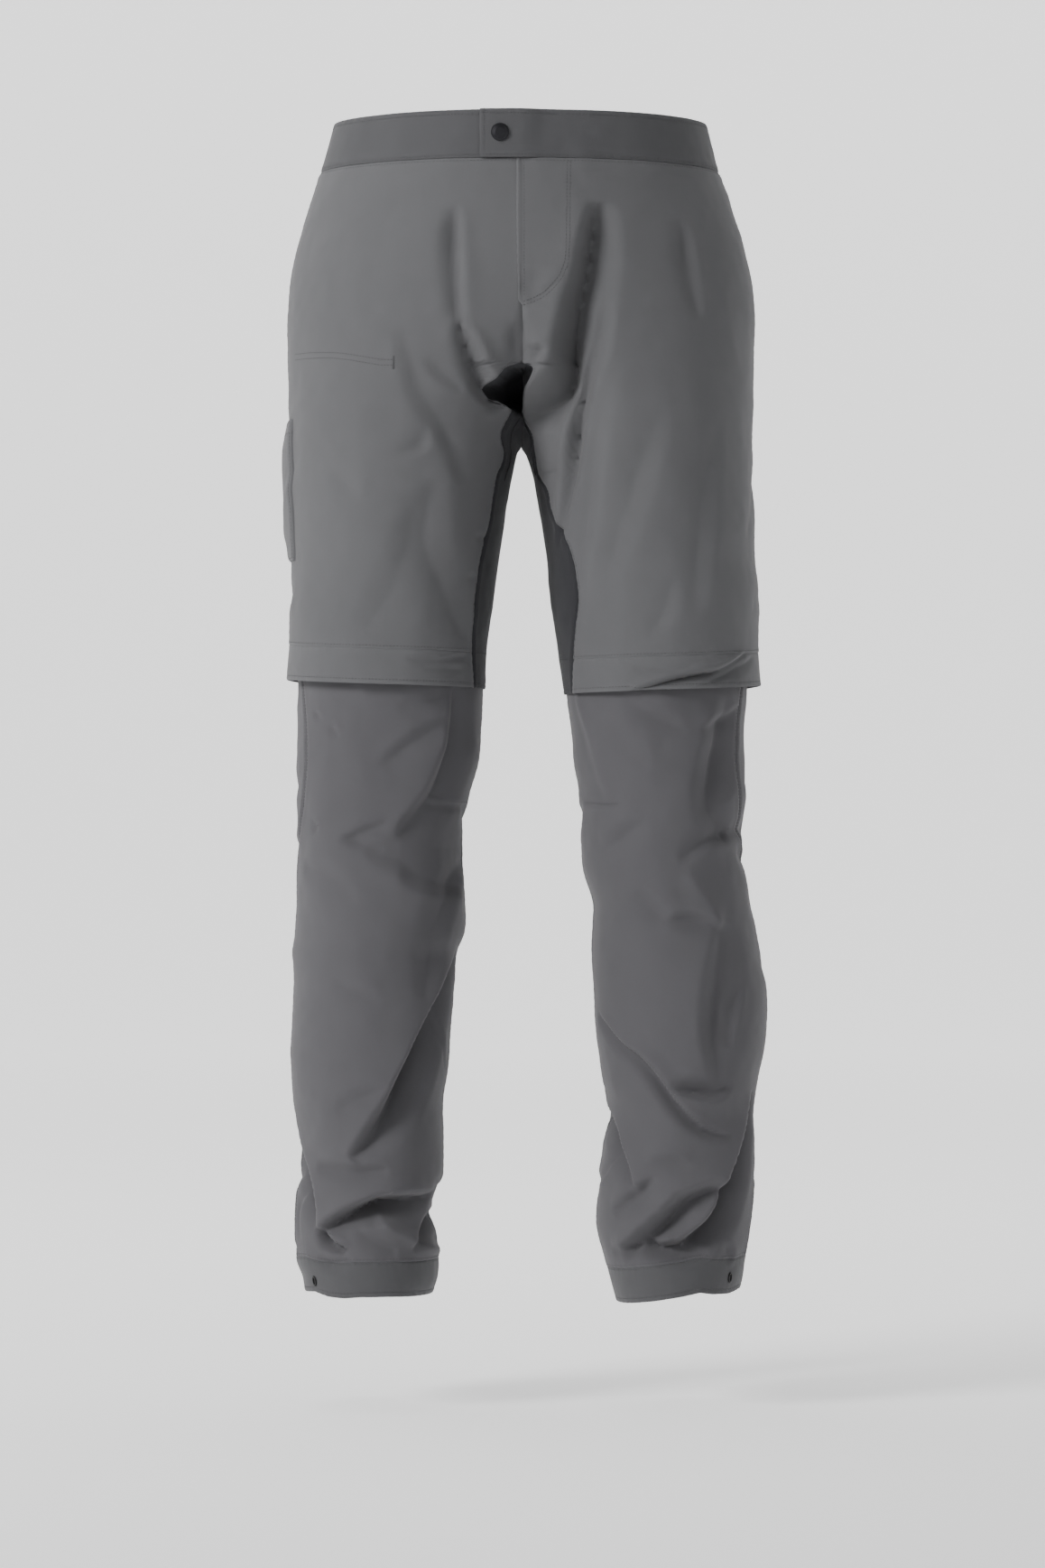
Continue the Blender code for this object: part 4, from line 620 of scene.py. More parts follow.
edgeRows = {"left": (np.s_[:, 0], np.s_[:, 1]), "right": (np.s_[:, -1], np.s_[:, -2]),
            "top": (np.s_[0], np.s_[1]), "foot": (np.s_[-1], np.s_[-2])}


def clothPiece(piece, points, outward, rise, closed=False, extra=0.0):
    normals = gridNormals(points, outward, closed)
    arcs = gridArcs(points, closed)
    outer = points + normals * (edgeDetail(arcs, piece["edges"]) + extra)[..., None]
    normals = gridNormals(outer, outward, closed)
    inner = outer - normals * piece["wall"]
    for edge, kind in piece["edges"].items():
        if kind != "free":  # so that no seam lets light through
            border, beside = edgeRows[edge]
            way = inner[border] - inner[beside]
            inner[border] += seam["tuck"] * way / np.linalg.norm(way, axis=-1, keepdims=True)
    item = gridMesh(piece["name"], outer, inner, closed, arcs, rise)
    finishPiece(item, materials[piece["material"]], piece["slot"], piece["node"])
    cloths[piece["name"]] = {"outer": outer, "normals": normals, "arcs": arcs, "item": item}
    print("made", piece["name"], outer.shape[:2], "width", round(float(arcs["across"][:, -1].mean()), 3),
          "length", round(float(arcs["down"][-1].mean()), 3))


def gussetEdge(leg, heights, face, margin):
    table = legs[leg]["frontSeam" if face == "front" else "backSeam"]
    distance = np.maximum(readTable(table, np.minimum(heights, forkHeight))[..., 0], 0.0)
    distance = np.where(heights >= forkHeight, 0.0, distance)
    distance = np.where(distance < seamGap, seamGap / 2, distance + margin)
    return angleAt(leg, "thigh", heights, distance, face)


def flapLine(leg, name, turn):
    return legs[leg][name] - legs[leg]["flapDrop"] * np.sin(turn * math.pi / 2)


def shinAngle(heights, share, face, margin):
    outseam = np.radians(readTable(shinOutseam, heights)[..., 0])
    if face == "front":
        return mix(outseam + margin, math.pi - margin, share)
    return mix(outseam - margin, margin - math.pi, share)


def hemHeight(leg, angles, above):
    degrees, rises = np.array(legs[leg]["hemWave"], float).T
    wave = np.interp(np.degrees(angles), degrees, rises) / 1000
    return legs[leg]["hem"] + legs[leg]["hemTilt"] * np.cos(angles) + wave + above


# Thigh panels. A cut is a piece's flat width and length, and filled is the share of it that the piece fills.
# The inseam's turns are followed only beyond edgeShare, and calmReach evens them out before it
thighPiece = {"wall": clothWall, "material": "thigh", "slot": "thigh_cloth", "hipShare": 0.41,
              "frontWidth": 0.175, "backWidth": 0.185, "rows": 0.43,
              "frontStep": 0.0022, "backStep": gridStep,
              "lap": 0.004, "lapDepth": 0.0016, "lapEase": 0.0012, "meetEase": 0.006,
              "edgeShare": 0.72, "calmReach": 0.03, "calmSteps": 9, "flyStitchStart": 0.42,
              "frontCut": (0.29, 0.43), "backCut": (0.30, 0.43), "filled": 0.90}


def thighPanel(leg, face):
    down = spaced(thighPiece["rows"])
    share = spaced(thighPiece[face + "Width"], step=thighPiece[face + "Step"])[None, :]
    stitch = flapLine(leg, "flapStitch", share * panelShare)
    top = -bandDepth - seamGap
    hips = thighPiece["hipShare"]
    heights = np.where(down[:, None] <= hips, mix(top, forkHeight, down[:, None] / hips),
                       mix(forkHeight, stitch, (down[:, None] - hips) / (1 - hips)))
    margin = seamGap / 2 / legOval(leg, "thigh", heights)[3]
    edge = gussetEdge(leg, heights, face, seamGap / 2)
    reach = thighPiece["lap"] if leg == "right" or face == "front" else 0.0
    meets = ease((heights - (forkHeight if leg == "right" else flyLook["foot"])) / thighPiece["meetEase"])
    edge = np.where(meets > 0, angleAt(leg, "thigh", heights, seamGap / 2 - reach * meets, face), edge)
    spread = np.linspace(-thighPiece["calmReach"], thighPiece["calmReach"], thighPiece["calmSteps"])
    levels = (heights[..., None] + spread).clip(None, top)
    calm = gussetEdge(leg, levels, face, seamGap / 2).mean(-1)
    turning = ease((share - thighPiece["edgeShare"]) / (1 - thighPiece["edgeShare"]))
    angles = mix(np.copysign(margin, calm), calm, share) + (edge - calm) * turning
    points, outward, rise = worn(leg, "thigh", heights, angles, crossing=meets > 0)
    lift = np.zeros_like(heights)
    if leg == "right":
        past = -legs[leg]["side"] * points[..., 0]
        lift -= thighPiece["lapDepth"] * ease((past + thighPiece["lapEase"] / 2) / thighPiece["lapEase"])
    if face == "front":
        seamAway = gridArcs(points, False)["right"]
        above = ease((heights - flyLook["foot"]) / flyLook["ease"])
        if leg == "left":
            lap = np.exp(-((seamAway - flyLook["rollMiddle"]) / flyLook["rollWidth"]) ** 2)
            lift += flyLook["lift"] * lap * above
            groove = np.exp(-((seamAway - flyLook["grooveAt"]) / flyLook["grooveWidth"]) ** 2)
            lift -= flyLook["groove"] * groove * above
        arch = np.exp(-((heights - archLook["height"]) / archLook["reach"]) ** 2)
        lift += archLook["roll"] * arch * np.exp(-(seamAway / archLook["seamReach"]) ** 2)
    piece = dict(thighPiece, name=face + "Thigh" + leg.capitalize(), node=face + "_thigh_" + leg,
                 cut=thighPiece[face + "Cut"],
                 edges={"left": "seam", "right": "seam", "top": "seam", "foot": "turned"})
    clothPiece(piece, points, outward, rise, extra=lift)


# Dark stretch panel inside the thigh. The hollow is the deep tuck under the fork
gussetPiece = {"wall": clothWall, "material": "stretch", "slot": "stretch_cloth", "thighShare": 0.888,
               "width": 0.10, "rows": 0.29, "hollow": 0.060, "hollowTop": -0.2185, "hollowFoot": -0.2600,
               "hollowReach": 0.006, "hollowTopEase": 0.005, "hollowFootEase": 0.012, "spread": 0.6,
               "lap": 0.0012, "join": 0.012, "cut": (0.18, 0.28), "filled": 0.80}


def gussetPanel(leg):
    down = spaced(gussetPiece["rows"])[:, None]
    share = spaced(gussetPiece["width"])[None, :]
    aside = np.abs(1 - 2 * share)
    start = mix(crotchHeight, forkHeight, aside**2) + 0 * down
    turn = mix(1.0, panelShare, aside)
    inThigh = gussetPiece["thighShare"]
    heights = np.where(down <= inThigh,
                       mix(start, flapLine(leg, "flapStitch", turn), down / inThigh),
                       mix(flapLine(leg, "flapStitch", turn), flapLine(leg, "flapEdge", turn),
                           (down - inThigh) / (1 - inThigh)))
    front = gussetEdge(leg, heights, "front", -seamGap / 2)
    back = 2 * math.pi + gussetEdge(leg, heights, "back", -seamGap / 2)
    topFront = gussetEdge(leg, start, "front", 0.0)
    topBack = 2 * math.pi + gussetEdge(leg, start, "back", 0.0)
    cut = np.where(share <= 0.5, angleAt(leg, "thigh", start, seamGap / 2, "front"),
                   2 * math.pi + angleAt(leg, "thigh", start, seamGap / 2, "back"))
    topShare = (cut - topFront) / np.maximum(topBack - topFront, 1e-6)
    spread = ease(down / inThigh / gussetPiece["spread"])
    angles = mix(front, back, mix(topShare, share, spread))
    points, outward, rise = worn(leg, "thigh", heights, angles)
    arcs = gridArcs(points, False)
    reach = gussetPiece["lap"] if leg == "right" else 0.0
    middle = legs[leg]["side"] * (seamGap / 2 - reach) + middleShift(points)
    points[..., 0] = mix(middle, points[..., 0], ease(arcs["top"] / gussetPiece["join"]))
    inside = (ease((gussetPiece["hollowTop"] - heights) / gussetPiece["hollowTopEase"])
              * ease((heights - gussetPiece["hollowFoot"]) / gussetPiece["hollowFootEase"]))
    beside = ease(arcs["left"] / gussetPiece["hollowReach"])
    points[..., 1] += gussetPiece["hollow"] * inside * beside * (share < 0.5)
    piece = dict(gussetPiece, name="innerThigh" + leg.capitalize(), node="inner_thigh_" + leg,
                 edges={"left": "seam", "right": "seam", "top": "turned", "foot": "free"})
    clothPiece(piece, points, outward, rise)


# Zip flap, sewn under the thigh panels and free at its lower edge
flapPiece = {"wall": clothWall, "material": "thigh", "slot": "thigh_cloth", "width": 0.50, "rows": 0.034,
             "step": 0.0020, "flare": 0.0018, "cut": (0.50, 0.033), "filled": 0.98}


def zipFlap(leg):
    down = spaced(flapPiece["rows"], step=flapPiece["step"])[:, None]
    turn = spaced(flapPiece["width"])[None, :] * 2 - 1
    face = np.where(turn >= 0, 1, -1)
    share = np.abs(turn)
    stitch = flapLine(leg, "flapStitch", share * panelShare)
    heights = mix(stitch - seamGap, flapLine(leg, "flapEdge", share * panelShare), down)
    frontEdge = gussetEdge(leg, heights, "front", seamGap / 2)
    backEdge = gussetEdge(leg, heights, "back", seamGap / 2)
    angles = np.where(face > 0, frontEdge, backEdge) * share
    points, outward, rise = worn(leg, "thigh", heights, angles)
    piece = dict(flapPiece, name="zipFlap" + leg.capitalize(), node="zip_flap_" + leg,
                 edges={"left": "seam", "right": "seam", "top": "turned", "foot": "free"})
    clothPiece(piece, points, outward, rise, extra=flapPiece["flare"] * down)


# Zip ring under the flap, from the inside of the thigh to the lower leg's top edge
ringPiece = {"wall": 0.0009, "material": "tape", "slot": "zip_tape", "width": 0.50, "rings": 14,
             "depth": 0.0027, "cut": (0.49, 0.031), "filled": 0.98}


def zipRing(leg):
    foot = legs[leg]["flapStitch"] - zipFootDrop
    turn = spaced(ringPiece["width"], first=False, last=False)[None, :-1] * 2 * math.pi
    outseam = np.radians(readTable(shinOutseam, np.array([foot]))[0, 0])
    angles = outseam + turn
    angles = np.where(angles > math.pi, angles - 2 * math.pi, angles)
    top = flapLine(leg, "flapStitch", np.abs(angles) / math.pi) + zipTopLift
    topPoint, outward, _ = worn(leg, "thigh", top, angles)
    topPoint = topPoint - outward * ringPiece["depth"]
    footPoint, _, rise = worn(leg, "shin", np.full_like(angles, foot), angles)
    rings = ringPiece["rings"]
    points = mix(topPoint, footPoint, np.linspace(0.0, 1.0, rings)[:, None, None])
    piece = dict(ringPiece, name="legZip" + leg.capitalize(), node="leg_zip_" + leg,
                 edges={"foot": "free"})
    clothPiece(piece, points, np.repeat(outward, rings, axis=0), np.repeat(rise, rings, axis=0), closed=True)


# Lower leg, in a front and a back panel
shinPiece = {"wall": clothWall, "material": "shin", "slot": "shin_cloth", "width": 0.225, "rows": 0.55,
             "frontCut": (0.23, 0.55), "backCut": (0.25, 0.55), "filled": 0.93}


def shinPanel(leg, face):
    down = spaced(shinPiece["rows"])[:, None]
    share = spaced(shinPiece["width"])[None, :]
    nominal = math.pi * share if face == "front" else -math.pi * share
    top = legs[leg]["flapStitch"] - zipFootDrop - seamGap
    heights = mix(top, hemHeight(leg, nominal, hemDepth), down)
    margin = seamGap / 2 / legOval(leg, "shin", heights)[3]
    points, outward, rise = worn(leg, "shin", heights, shinAngle(heights, share, face, margin))
    piece = dict(shinPiece, name="lower" + face.capitalize() + leg.capitalize(),
                 node="lower_%s_%s" % (face, leg), cut=shinPiece[face + "Cut"],
                 edges={"left": "seam", "right": "seam", "top": "seam", "foot": "turned"})
    clothPiece(piece, points, outward, rise)


# Turned-up hem, a double band with the drawcord's tunnel
hemPiece = {"wall": bandWall, "material": "band", "slot": "band_cloth", "width": 0.44, "rows": 0.031,
            "step": 0.0020, "cut": (0.42, 0.031), "filled": 0.98, "puff": 0.0006}


def hemBand(leg):
    down = spaced(hemPiece["rows"], step=hemPiece["step"])[:, None]
    turn = spaced(hemPiece["width"], first=False, last=False)[None, :-1] * 2
    share = np.where(turn <= 1, turn, 2 - turn)
    nominal = np.where(turn <= 1, math.pi * share, -math.pi * share)
    heights = hemHeight(leg, nominal, mix(hemDepth - seamGap, 0.0, down))
    front, back = (shinAngle(heights, share, face, 0.0) for face in ("front", "back"))
    angles = np.where(turn <= 1, front, back)
    points, outward, rise = worn(leg, "shin", heights, angles)
    piece = dict(hemPiece, name="hem" + leg.capitalize(), node="hem_" + leg,
                 edges={"top": "turned", "foot": "free"})
    clothPiece(piece, points, outward, rise, closed=True, extra=hemPiece["puff"] * np.sin(math.pi * down))


# Waistband once round the waist. Its left end laps over the right end as a tab
bandPiece = {"name": "waistband", "node": "waistband", "wall": 0.0022, "material": "band",
             "slot": "band_cloth", "tabLength": 0.035, "tabRamp": 0.022, "tabLift": 0.0032,
             "tabTurn": 0.5, "openGap": 0.004,
             "width": 0.96, "step": 0.0025,
             "cut": (0.98, 0.042), "filled": 0.98,
             "edges": {"left": "free", "right": "free", "top": "free", "foot": "seam"}}


def waistband():
    heights = mix(0.0, -bandDepth, spaced(bandDepth, step=bandPiece["step"]))[:, None]
    share = spaced(bandPiece["width"])[None, :]
    tabStart = angleAt("left", "thigh", heights, -bandPiece["tabLength"], "front")
    turns = mix(tabStart, -1.5 * math.pi + bandPiece["openGap"], share)
    onLeft = turns >= -math.pi / 2
    leftPoint, leftOut, leftRise = worn("left", "hips", heights + 0 * turns, turns)
    rightPoint, rightOut, rightRise = worn("right", "hips", heights + 0 * turns, -math.pi - turns)
    pick = onLeft[..., None]
    points, outward = np.where(pick, leftPoint, rightPoint), np.where(pick, leftOut, rightOut)
    rise = np.where(onLeft, leftRise, rightRise)
    lapped = ease((bandPiece["tabRamp"] - leftPoint[..., 0]) / bandPiece["tabRamp"])
    lapped = lapped * (onLeft & (turns > bandPiece["tabTurn"]))
    clothPiece(bandPiece, points, outward, rise, extra=bandPiece["tabLift"] * lapped)


# Facing of the fly inside the left front, and the zip tape behind it
flyPiece = {"name": "flyFacing", "node": "fly_facing", "wall": 0.0012, "material": "thigh",
            "slot": "thigh_cloth", "step": 0.003, "depth": 0.0029, "width": 0.041, "footWidth": 0.006,
            "rows": 0.118, "straight": 0.72,
            "cut": (0.041, 0.118), "filled": 0.86,
            "edges": {"left": "free", "right": "free", "top": "free", "foot": "free"}}
flyTape = {"name": "flyZip", "node": "fly_zip", "wall": 0.0012, "material": "tape", "slot": "zip_tape",
           "step": 0.003, "depth": 0.0056, "width": 0.024, "top": -0.050, "foot": -0.156,
           "cut": (0.024, 0.106), "filled": 0.98, "edges": {"left": "free", "right": "free"}}


def flyFacing():
    down = spaced(flyPiece["rows"])[:, None]
    share = spaced(flyPiece["width"], step=flyPiece["step"])[None, :]
    heights = mix(-bandDepth - seamGap, -bandDepth - seamGap - flyPiece["rows"], down) + 0 * share
    curve = np.clip((down - flyPiece["straight"]) / (1 - flyPiece["straight"]), 0.0, 1.0)
    width = mix(flyPiece["footWidth"], flyPiece["width"], np.sqrt(1 - curve**2))
    angles = angleAt("left", "thigh", heights, mix(2 * seamGap, width, share), "front")
    points, outward, rise = worn("left", "thigh", heights, angles)
    clothPiece(flyPiece, points - outward * flyPiece["depth"], outward, rise)


def flyZip():
    down, share = (spaced(length, step=flyTape["step"], first=False, last=False)
                   for length in (flyTape["top"] - flyTape["foot"], flyTape["width"]))
    down, share = down[:, None], share[None, :]
    heights = mix(flyTape["top"], flyTape["foot"], down) + 0 * share
    angles = angleAt("left", "thigh", heights, (share - 0.5) * flyTape["width"], "front")
    points, outward, rise = worn("left", "hips", heights, angles)
    clothPiece(flyTape, points - outward * flyTape["depth"], outward, rise)


# Patch pocket over the right outseam, standing off the leg
pocketPiece = {"name": "sidePocket", "node": "side_pocket_right", "wall": clothWall, "material": "thigh",
               "slot": "thigh_cloth", "top": -0.262, "foot": -0.386, "frontTurn": 0.125, "backTurn": 0.50,
               "fullness": 0.0075, "round": 0.6, "ripple": (0.25, 0.03, 2.2), "gap": 0.0009, "width": 0.115,
               "cut": (0.17, 0.125), "filled": 0.98,
               "edges": {"left": "seam", "right": "seam", "top": "free", "foot": "seam"}}


def sidePocket():
    down = spaced(pocketPiece["top"] - pocketPiece["foot"])[:, None]
    share = spaced(pocketPiece["width"])[None, :]
    heights = mix(pocketPiece["top"], pocketPiece["foot"], down) + 0 * share
    frontEdge = gussetEdge("right", heights, "front", 0.0) * pocketPiece["frontTurn"]
    backEdge = gussetEdge("right", heights, "back", 0.0) * pocketPiece["backTurn"]
    points, outward, rise = worn("right", "thigh", heights, mix(backEdge, frontEdge, share))
    full = np.sin(math.pi * share) ** pocketPiece["round"] * np.sin(math.pi * down) ** pocketPiece["round"]
    height, size, shift = pocketPiece["ripple"]
    ripple = 1 + height * softNoise(points, size, shift)
    clothPiece(pocketPiece, points, outward, rise,
               extra=pocketPiece["gap"] + clothWall + pocketPiece["fullness"] * full * ripple)


def linear(value):
    value /= 255
    return value / 12.92 if value <= 0.04045 else ((value + 0.055) / 1.055) ** 2.4


def shade(red, green, blue):
    return linear(red), linear(green), linear(blue), 1.0


# Cloth looks: colour in sRGB, how much it varies, weave pitch in metres and its relief. Grain gives the
# scales of the noises and what all cloths or all hard parts share
# The fold limits and gain in grain paint shade into the fold hollows and light onto the fold ridges
grain = {"blotch": 11.0, "fleck": 900.0, "patch": 160.0, "slub": 260.0, "paintedShadeFloor": -0.008,
         "paintedLightCeiling": 0.004, "paintedFoldGain": 12.0, "weaveTone": 0.06, "waveScale": 0.3142, "bump": 0.3, "specular": 0.25,
         "hard": 420.0, "hardTone": 0.5, "scratch": 1400.0, "scratchDepth": 0.18}
plainWeave = {"vary": 0.07, "weave": 0.00052, "relief": 0.20, "rough": 0.86, "sheen": 0.10, "wear": 0.10}
clothLooks = {
    "thigh": dict(plainWeave, colour=(84, 84, 86)),
    "shin": dict(plainWeave, colour=(76, 75, 78)),
    "band": dict(plainWeave, colour=(70, 70, 72), wear=0.12),
    "stretch": {"colour": (43, 43, 46), "vary": 0.06, "weave": 0.00070, "relief": 0.28, "rough": 0.92,
                "sheen": 0.06, "wear": 0.06},
    "tape": {"colour": (28, 28, 30), "vary": 0.05, "weave": 0.00080, "relief": 0.30, "rough": 0.80,
             "sheen": 0.05, "wear": 0.04},
}


def calc(tree, operation, first, second):
    node = tree.nodes.new("ShaderNodeMath")
    node.operation = operation
    for socket, value in zip(node.inputs, (first, second)):
        if isinstance(value, (int, float)):
            socket.default_value = value
        else:
            tree.links.new(value, socket)
    return node.outputs[0]


def noiseOutput(tree, vector, scale, detail):
    node = tree.nodes.new("ShaderNodeTexNoise")
    node.inputs["Scale"].default_value = scale
    node.inputs["Detail"].default_value = detail
    tree.links.new(vector, node.inputs["Vector"])
    return node.outputs[0]


def newMaterial(name):
    material = bpy.data.materials.new(name)
    material.use_nodes = True
    return material, material.node_tree, material.node_tree.nodes["Principled BSDF"]


def tintedBase(tree, shader, colour, value):
    tint = tree.nodes.new("ShaderNodeVectorMath")
    tint.operation = "SCALE"
    tint.inputs[0].default_value = shade(*colour)[:3]
    tree.links.new(value, tint.inputs["Scale"])
    tree.links.new(tint.outputs[0], shader.inputs["Base Color"])


# Plain weave from two crossed waves, with blotches, flecks and worn edges, plus painted shade in the fold hollows and
# painted light on the fold ridges
def clothMaterial(name, look):
    material, tree, shader = newMaterial(name)
    plan = tree.nodes.new("ShaderNodeUVMap")
    plan.uv_map = "cloth"
    place = tree.nodes.new("ShaderNodeTexCoord").outputs["Object"]
    waves = []
    for direction in ("X", "Y"):
        wave = tree.nodes.new("ShaderNodeTexWave")
        wave.bands_direction = direction
        wave.inputs["Scale"].default_value = grain["waveScale"] / look["weave"]
        wave.inputs["Distortion"].default_value = 0.6
        wave.inputs["Detail"].default_value = 1.0
        tree.links.new(plan.outputs[0], wave.inputs["Vector"])
        waves.append(wave.outputs["Fac"])
    weave = calc(tree, "MULTIPLY", waves[0], waves[1])
    blotch = calc(tree, "SUBTRACT", noiseOutput(tree, place, grain["blotch"], 3.0), 0.5)
    fleck = calc(tree, "SUBTRACT", noiseOutput(tree, place, grain["fleck"], 2.0), 0.5)
    edge = tree.nodes.new("ShaderNodeAttribute")
    edge.attribute_name = "edge"
    rise = tree.nodes.new("ShaderNodeAttribute")
    rise.attribute_name = "rise"
    patchy = calc(tree, "MULTIPLY", noiseOutput(tree, place, grain["patch"], 2.0), look["wear"])
    wear = calc(tree, "MULTIPLY", edge.outputs["Fac"], patchy)
    # Painted shade and light: the cloth's colour is darkened where the fold sinks and lightened where it rises
    foldShadeAndLight = calc(tree, "MAXIMUM", rise.outputs["Fac"], grain["paintedShadeFloor"])
    foldShadeAndLight = calc(tree, "MULTIPLY", calc(tree, "MINIMUM", foldShadeAndLight, grain["paintedLightCeiling"]), grain["paintedFoldGain"])
    value = calc(tree, "ADD", calc(tree, "MULTIPLY", blotch, look["vary"] * 2),
                 calc(tree, "MULTIPLY", fleck, look["vary"] * 1.4))
    crossing = calc(tree, "MULTIPLY", calc(tree, "SUBTRACT", weave, 0.25), grain["weaveTone"])
    value = calc(tree, "ADD", value, crossing)
    value = calc(tree, "ADD", calc(tree, "ADD", value, wear), calc(tree, "ADD", foldShadeAndLight, 1.0))
    tintedBase(tree, shader, look["colour"], value)
    shader.inputs["Roughness"].default_value = look["rough"]
    shader.inputs["Specular IOR Level"].default_value = grain["specular"]
    shader.inputs["Sheen Weight"].default_value = look["sheen"]
    shader.inputs["Sheen Roughness"].default_value = 0.5
    slub = noiseOutput(tree, place, grain["slub"], 3.0)
    relief = calc(tree, "ADD", weave, calc(tree, "MULTIPLY", slub, 0.8))
    bump = tree.nodes.new("ShaderNodeBump")
    bump.inputs["Strength"].default_value = look["relief"]
    bump.inputs["Distance"].default_value = look["weave"] * grain["bump"]
    tree.links.new(relief, bump.inputs["Height"])
    tree.links.new(bump.outputs[0], shader.inputs["Normal"])
    return material


# Hard parts and thread: colour in sRGB, roughness, metallic value
hardLooks = {
    "thread": {"colour": (64, 64, 66), "rough": 0.80, "metal": 0.0},
    "darkThread": {"colour": (34, 34, 36), "rough": 0.80, "metal": 0.0},
    "coil": {"colour": (22, 22, 24), "rough": 0.45, "metal": 0.0},
    "slider": {"colour": (38, 38, 41), "rough": 0.34, "metal": 0.8},
    "eyelet": {"colour": (16, 16, 17), "rough": 0.38, "metal": 0.5},
    # Painted shade: a near-black disc stands for the dark inside of the eyelet's hole
    "holeShade": {"colour": (4, 4, 4), "rough": 0.95, "metal": 0.0},
    "snap": {"colour": (46, 46, 49), "rough": 0.32, "metal": 0.85},
}


def hardMaterial(name, look):
    material, tree, shader = newMaterial(name)
    place = tree.nodes.new("ShaderNodeTexCoord").outputs["Object"]
    tone = calc(tree, "MULTIPLY", noiseOutput(tree, place, grain["hard"], 3.0), grain["hardTone"])
    value = calc(tree, "ADD", tone, 1 - grain["hardTone"] / 2)
    tintedBase(tree, shader, look["colour"], value)
    scratch = calc(tree, "MULTIPLY", noiseOutput(tree, place, grain["scratch"], 2.0), grain["scratchDepth"])
    tree.links.new(calc(tree, "ADD", scratch, look["rough"] - grain["scratchDepth"] / 2),
                   shader.inputs["Roughness"])
    shader.inputs["Metallic"].default_value = look["metal"]
    return material


# Stitches: one tree lays small rounded threads along a path, its inputs set for each run. stitchAway
# gives the rows that don't lie at the seam's own stitch line, by their distance from the edge
stitchLook = {"spacing": 0.0030, "length": 0.0025, "width": 0.00050, "height": 0.00042, "seed": 4}
coilLook = {"spacing": 0.0015, "length": 0.0009, "width": 0.0046, "height": 0.0013, "seed": 5}
tackLook = dict(stitchLook, spacing=0.0007, length=0.0006, width=0.0026)
stitchAway = {"gussetFoot": 0.031, "shinTop": 0.0045, "hemTop": 0.0016, "pocketTop": 0.012, "legCoil": 0.0145}
coilLift = {"leg": 0.0004, "fly": -0.0016}


def stitchTree():
    tree = bpy.data.node_groups.new("laidStitches", "GeometryNodeTree")
    sockets = {}
    tree.interface.new_socket("Path", in_out="INPUT", socket_type="NodeSocketGeometry")
    for name, kind in (("Spacing", "Float"), ("Size", "Vector"), ("Seed", "Int"), ("Finish", "Material")):
        socket = tree.interface.new_socket(name, in_out="INPUT", socket_type="NodeSocket" + kind)
        sockets[name] = socket.identifier
    tree.interface.new_socket("Stitches", in_out="OUTPUT", socket_type="NodeSocketGeometry")
    start, end = tree.nodes.new("NodeGroupInput"), tree.nodes.new("NodeGroupOutput")
    link = tree.links.new
    toCurve = tree.nodes.new("GeometryNodeMeshToCurve")
    resample = tree.nodes.new("GeometryNodeResampleCurve")
    resample.mode = "LENGTH"
    outward = tree.nodes.new("GeometryNodeInputNamedAttribute")
    outward.data_type = "FLOAT_VECTOR"
    outward.inputs["Name"].default_value = "outward"
    turn = tree.nodes.new("FunctionNodeAxesToRotation")
    turn.primary_axis = "Z"
    turn.secondary_axis = "X"
    tangent = tree.nodes.new("GeometryNodeInputTangent")
    bead = tree.nodes.new("GeometryNodeMeshIcoSphere")
    bead.inputs["Radius"].default_value = 0.5
    bead.inputs["Subdivisions"].default_value = 1
    uneven = tree.nodes.new("FunctionNodeRandomValue")
    uneven.data_type = "FLOAT_VECTOR"
    uneven.inputs[0].default_value = (0.88, 0.88, 0.88)
    uneven.inputs[1].default_value = (1.08, 1.12, 1.12)
    size = tree.nodes.new("ShaderNodeVectorMath")
    size.operation = "MULTIPLY"
    place = tree.nodes.new("GeometryNodeInstanceOnPoints")
    realize = tree.nodes.new("GeometryNodeRealizeInstances")
    finish = tree.nodes.new("GeometryNodeSetMaterial")
    link(start.outputs["Path"], toCurve.inputs["Mesh"])
    link(toCurve.outputs["Curve"], resample.inputs["Curve"])
    link(start.outputs["Spacing"], resample.inputs["Length"])
    link(resample.outputs["Curve"], place.inputs["Points"])
    link(bead.outputs["Mesh"], place.inputs["Instance"])
    link([s for s in outward.outputs if s.enabled][0], turn.inputs["Primary Axis"])
    link(tangent.outputs["Tangent"], turn.inputs["Secondary Axis"])
    link(turn.outputs["Rotation"], place.inputs["Rotation"])
    link(start.outputs["Seed"], uneven.inputs["Seed"])
    link([s for s in uneven.outputs if s.enabled][0], size.inputs[0])
    link(start.outputs["Size"], size.inputs[1])
    link(size.outputs[0], place.inputs["Scale"])
    link(place.outputs["Instances"], realize.inputs["Geometry"])
    link(realize.outputs["Geometry"], finish.inputs["Geometry"])
    link(start.outputs["Finish"], finish.inputs["Material"])
    link(finish.outputs["Geometry"], end.inputs["Stitches"])
    return tree, sockets


# Line on a cloth at a distance from one of its edges, with the cloth's outward directions
def edgeLine(cloth, edge, distance, lift=0.0001, start=0.0):
    outer, normals, arcs = cloth["outer"], cloth["normals"], cloth["arcs"][edge]
    if edge in ("top", "foot"):
        outer, normals, arcs = outer.transpose(1, 0, 2), normals.transpose(1, 0, 2), arcs.T
    points, outs = [], []
    for row, out, away in zip(outer, normals, arcs):
        order = np.argsort(away)
        points.append([np.interp(distance, away[order], row[order, axis]) for axis in range(3)])
        outs.append([np.interp(distance, away[order], out[order, axis]) for axis in range(3)])
    first = int(start * (len(points) - 1))
    points, outs = np.array(points)[first:], np.array(outs)[first:]
    return points + outs * lift, outs


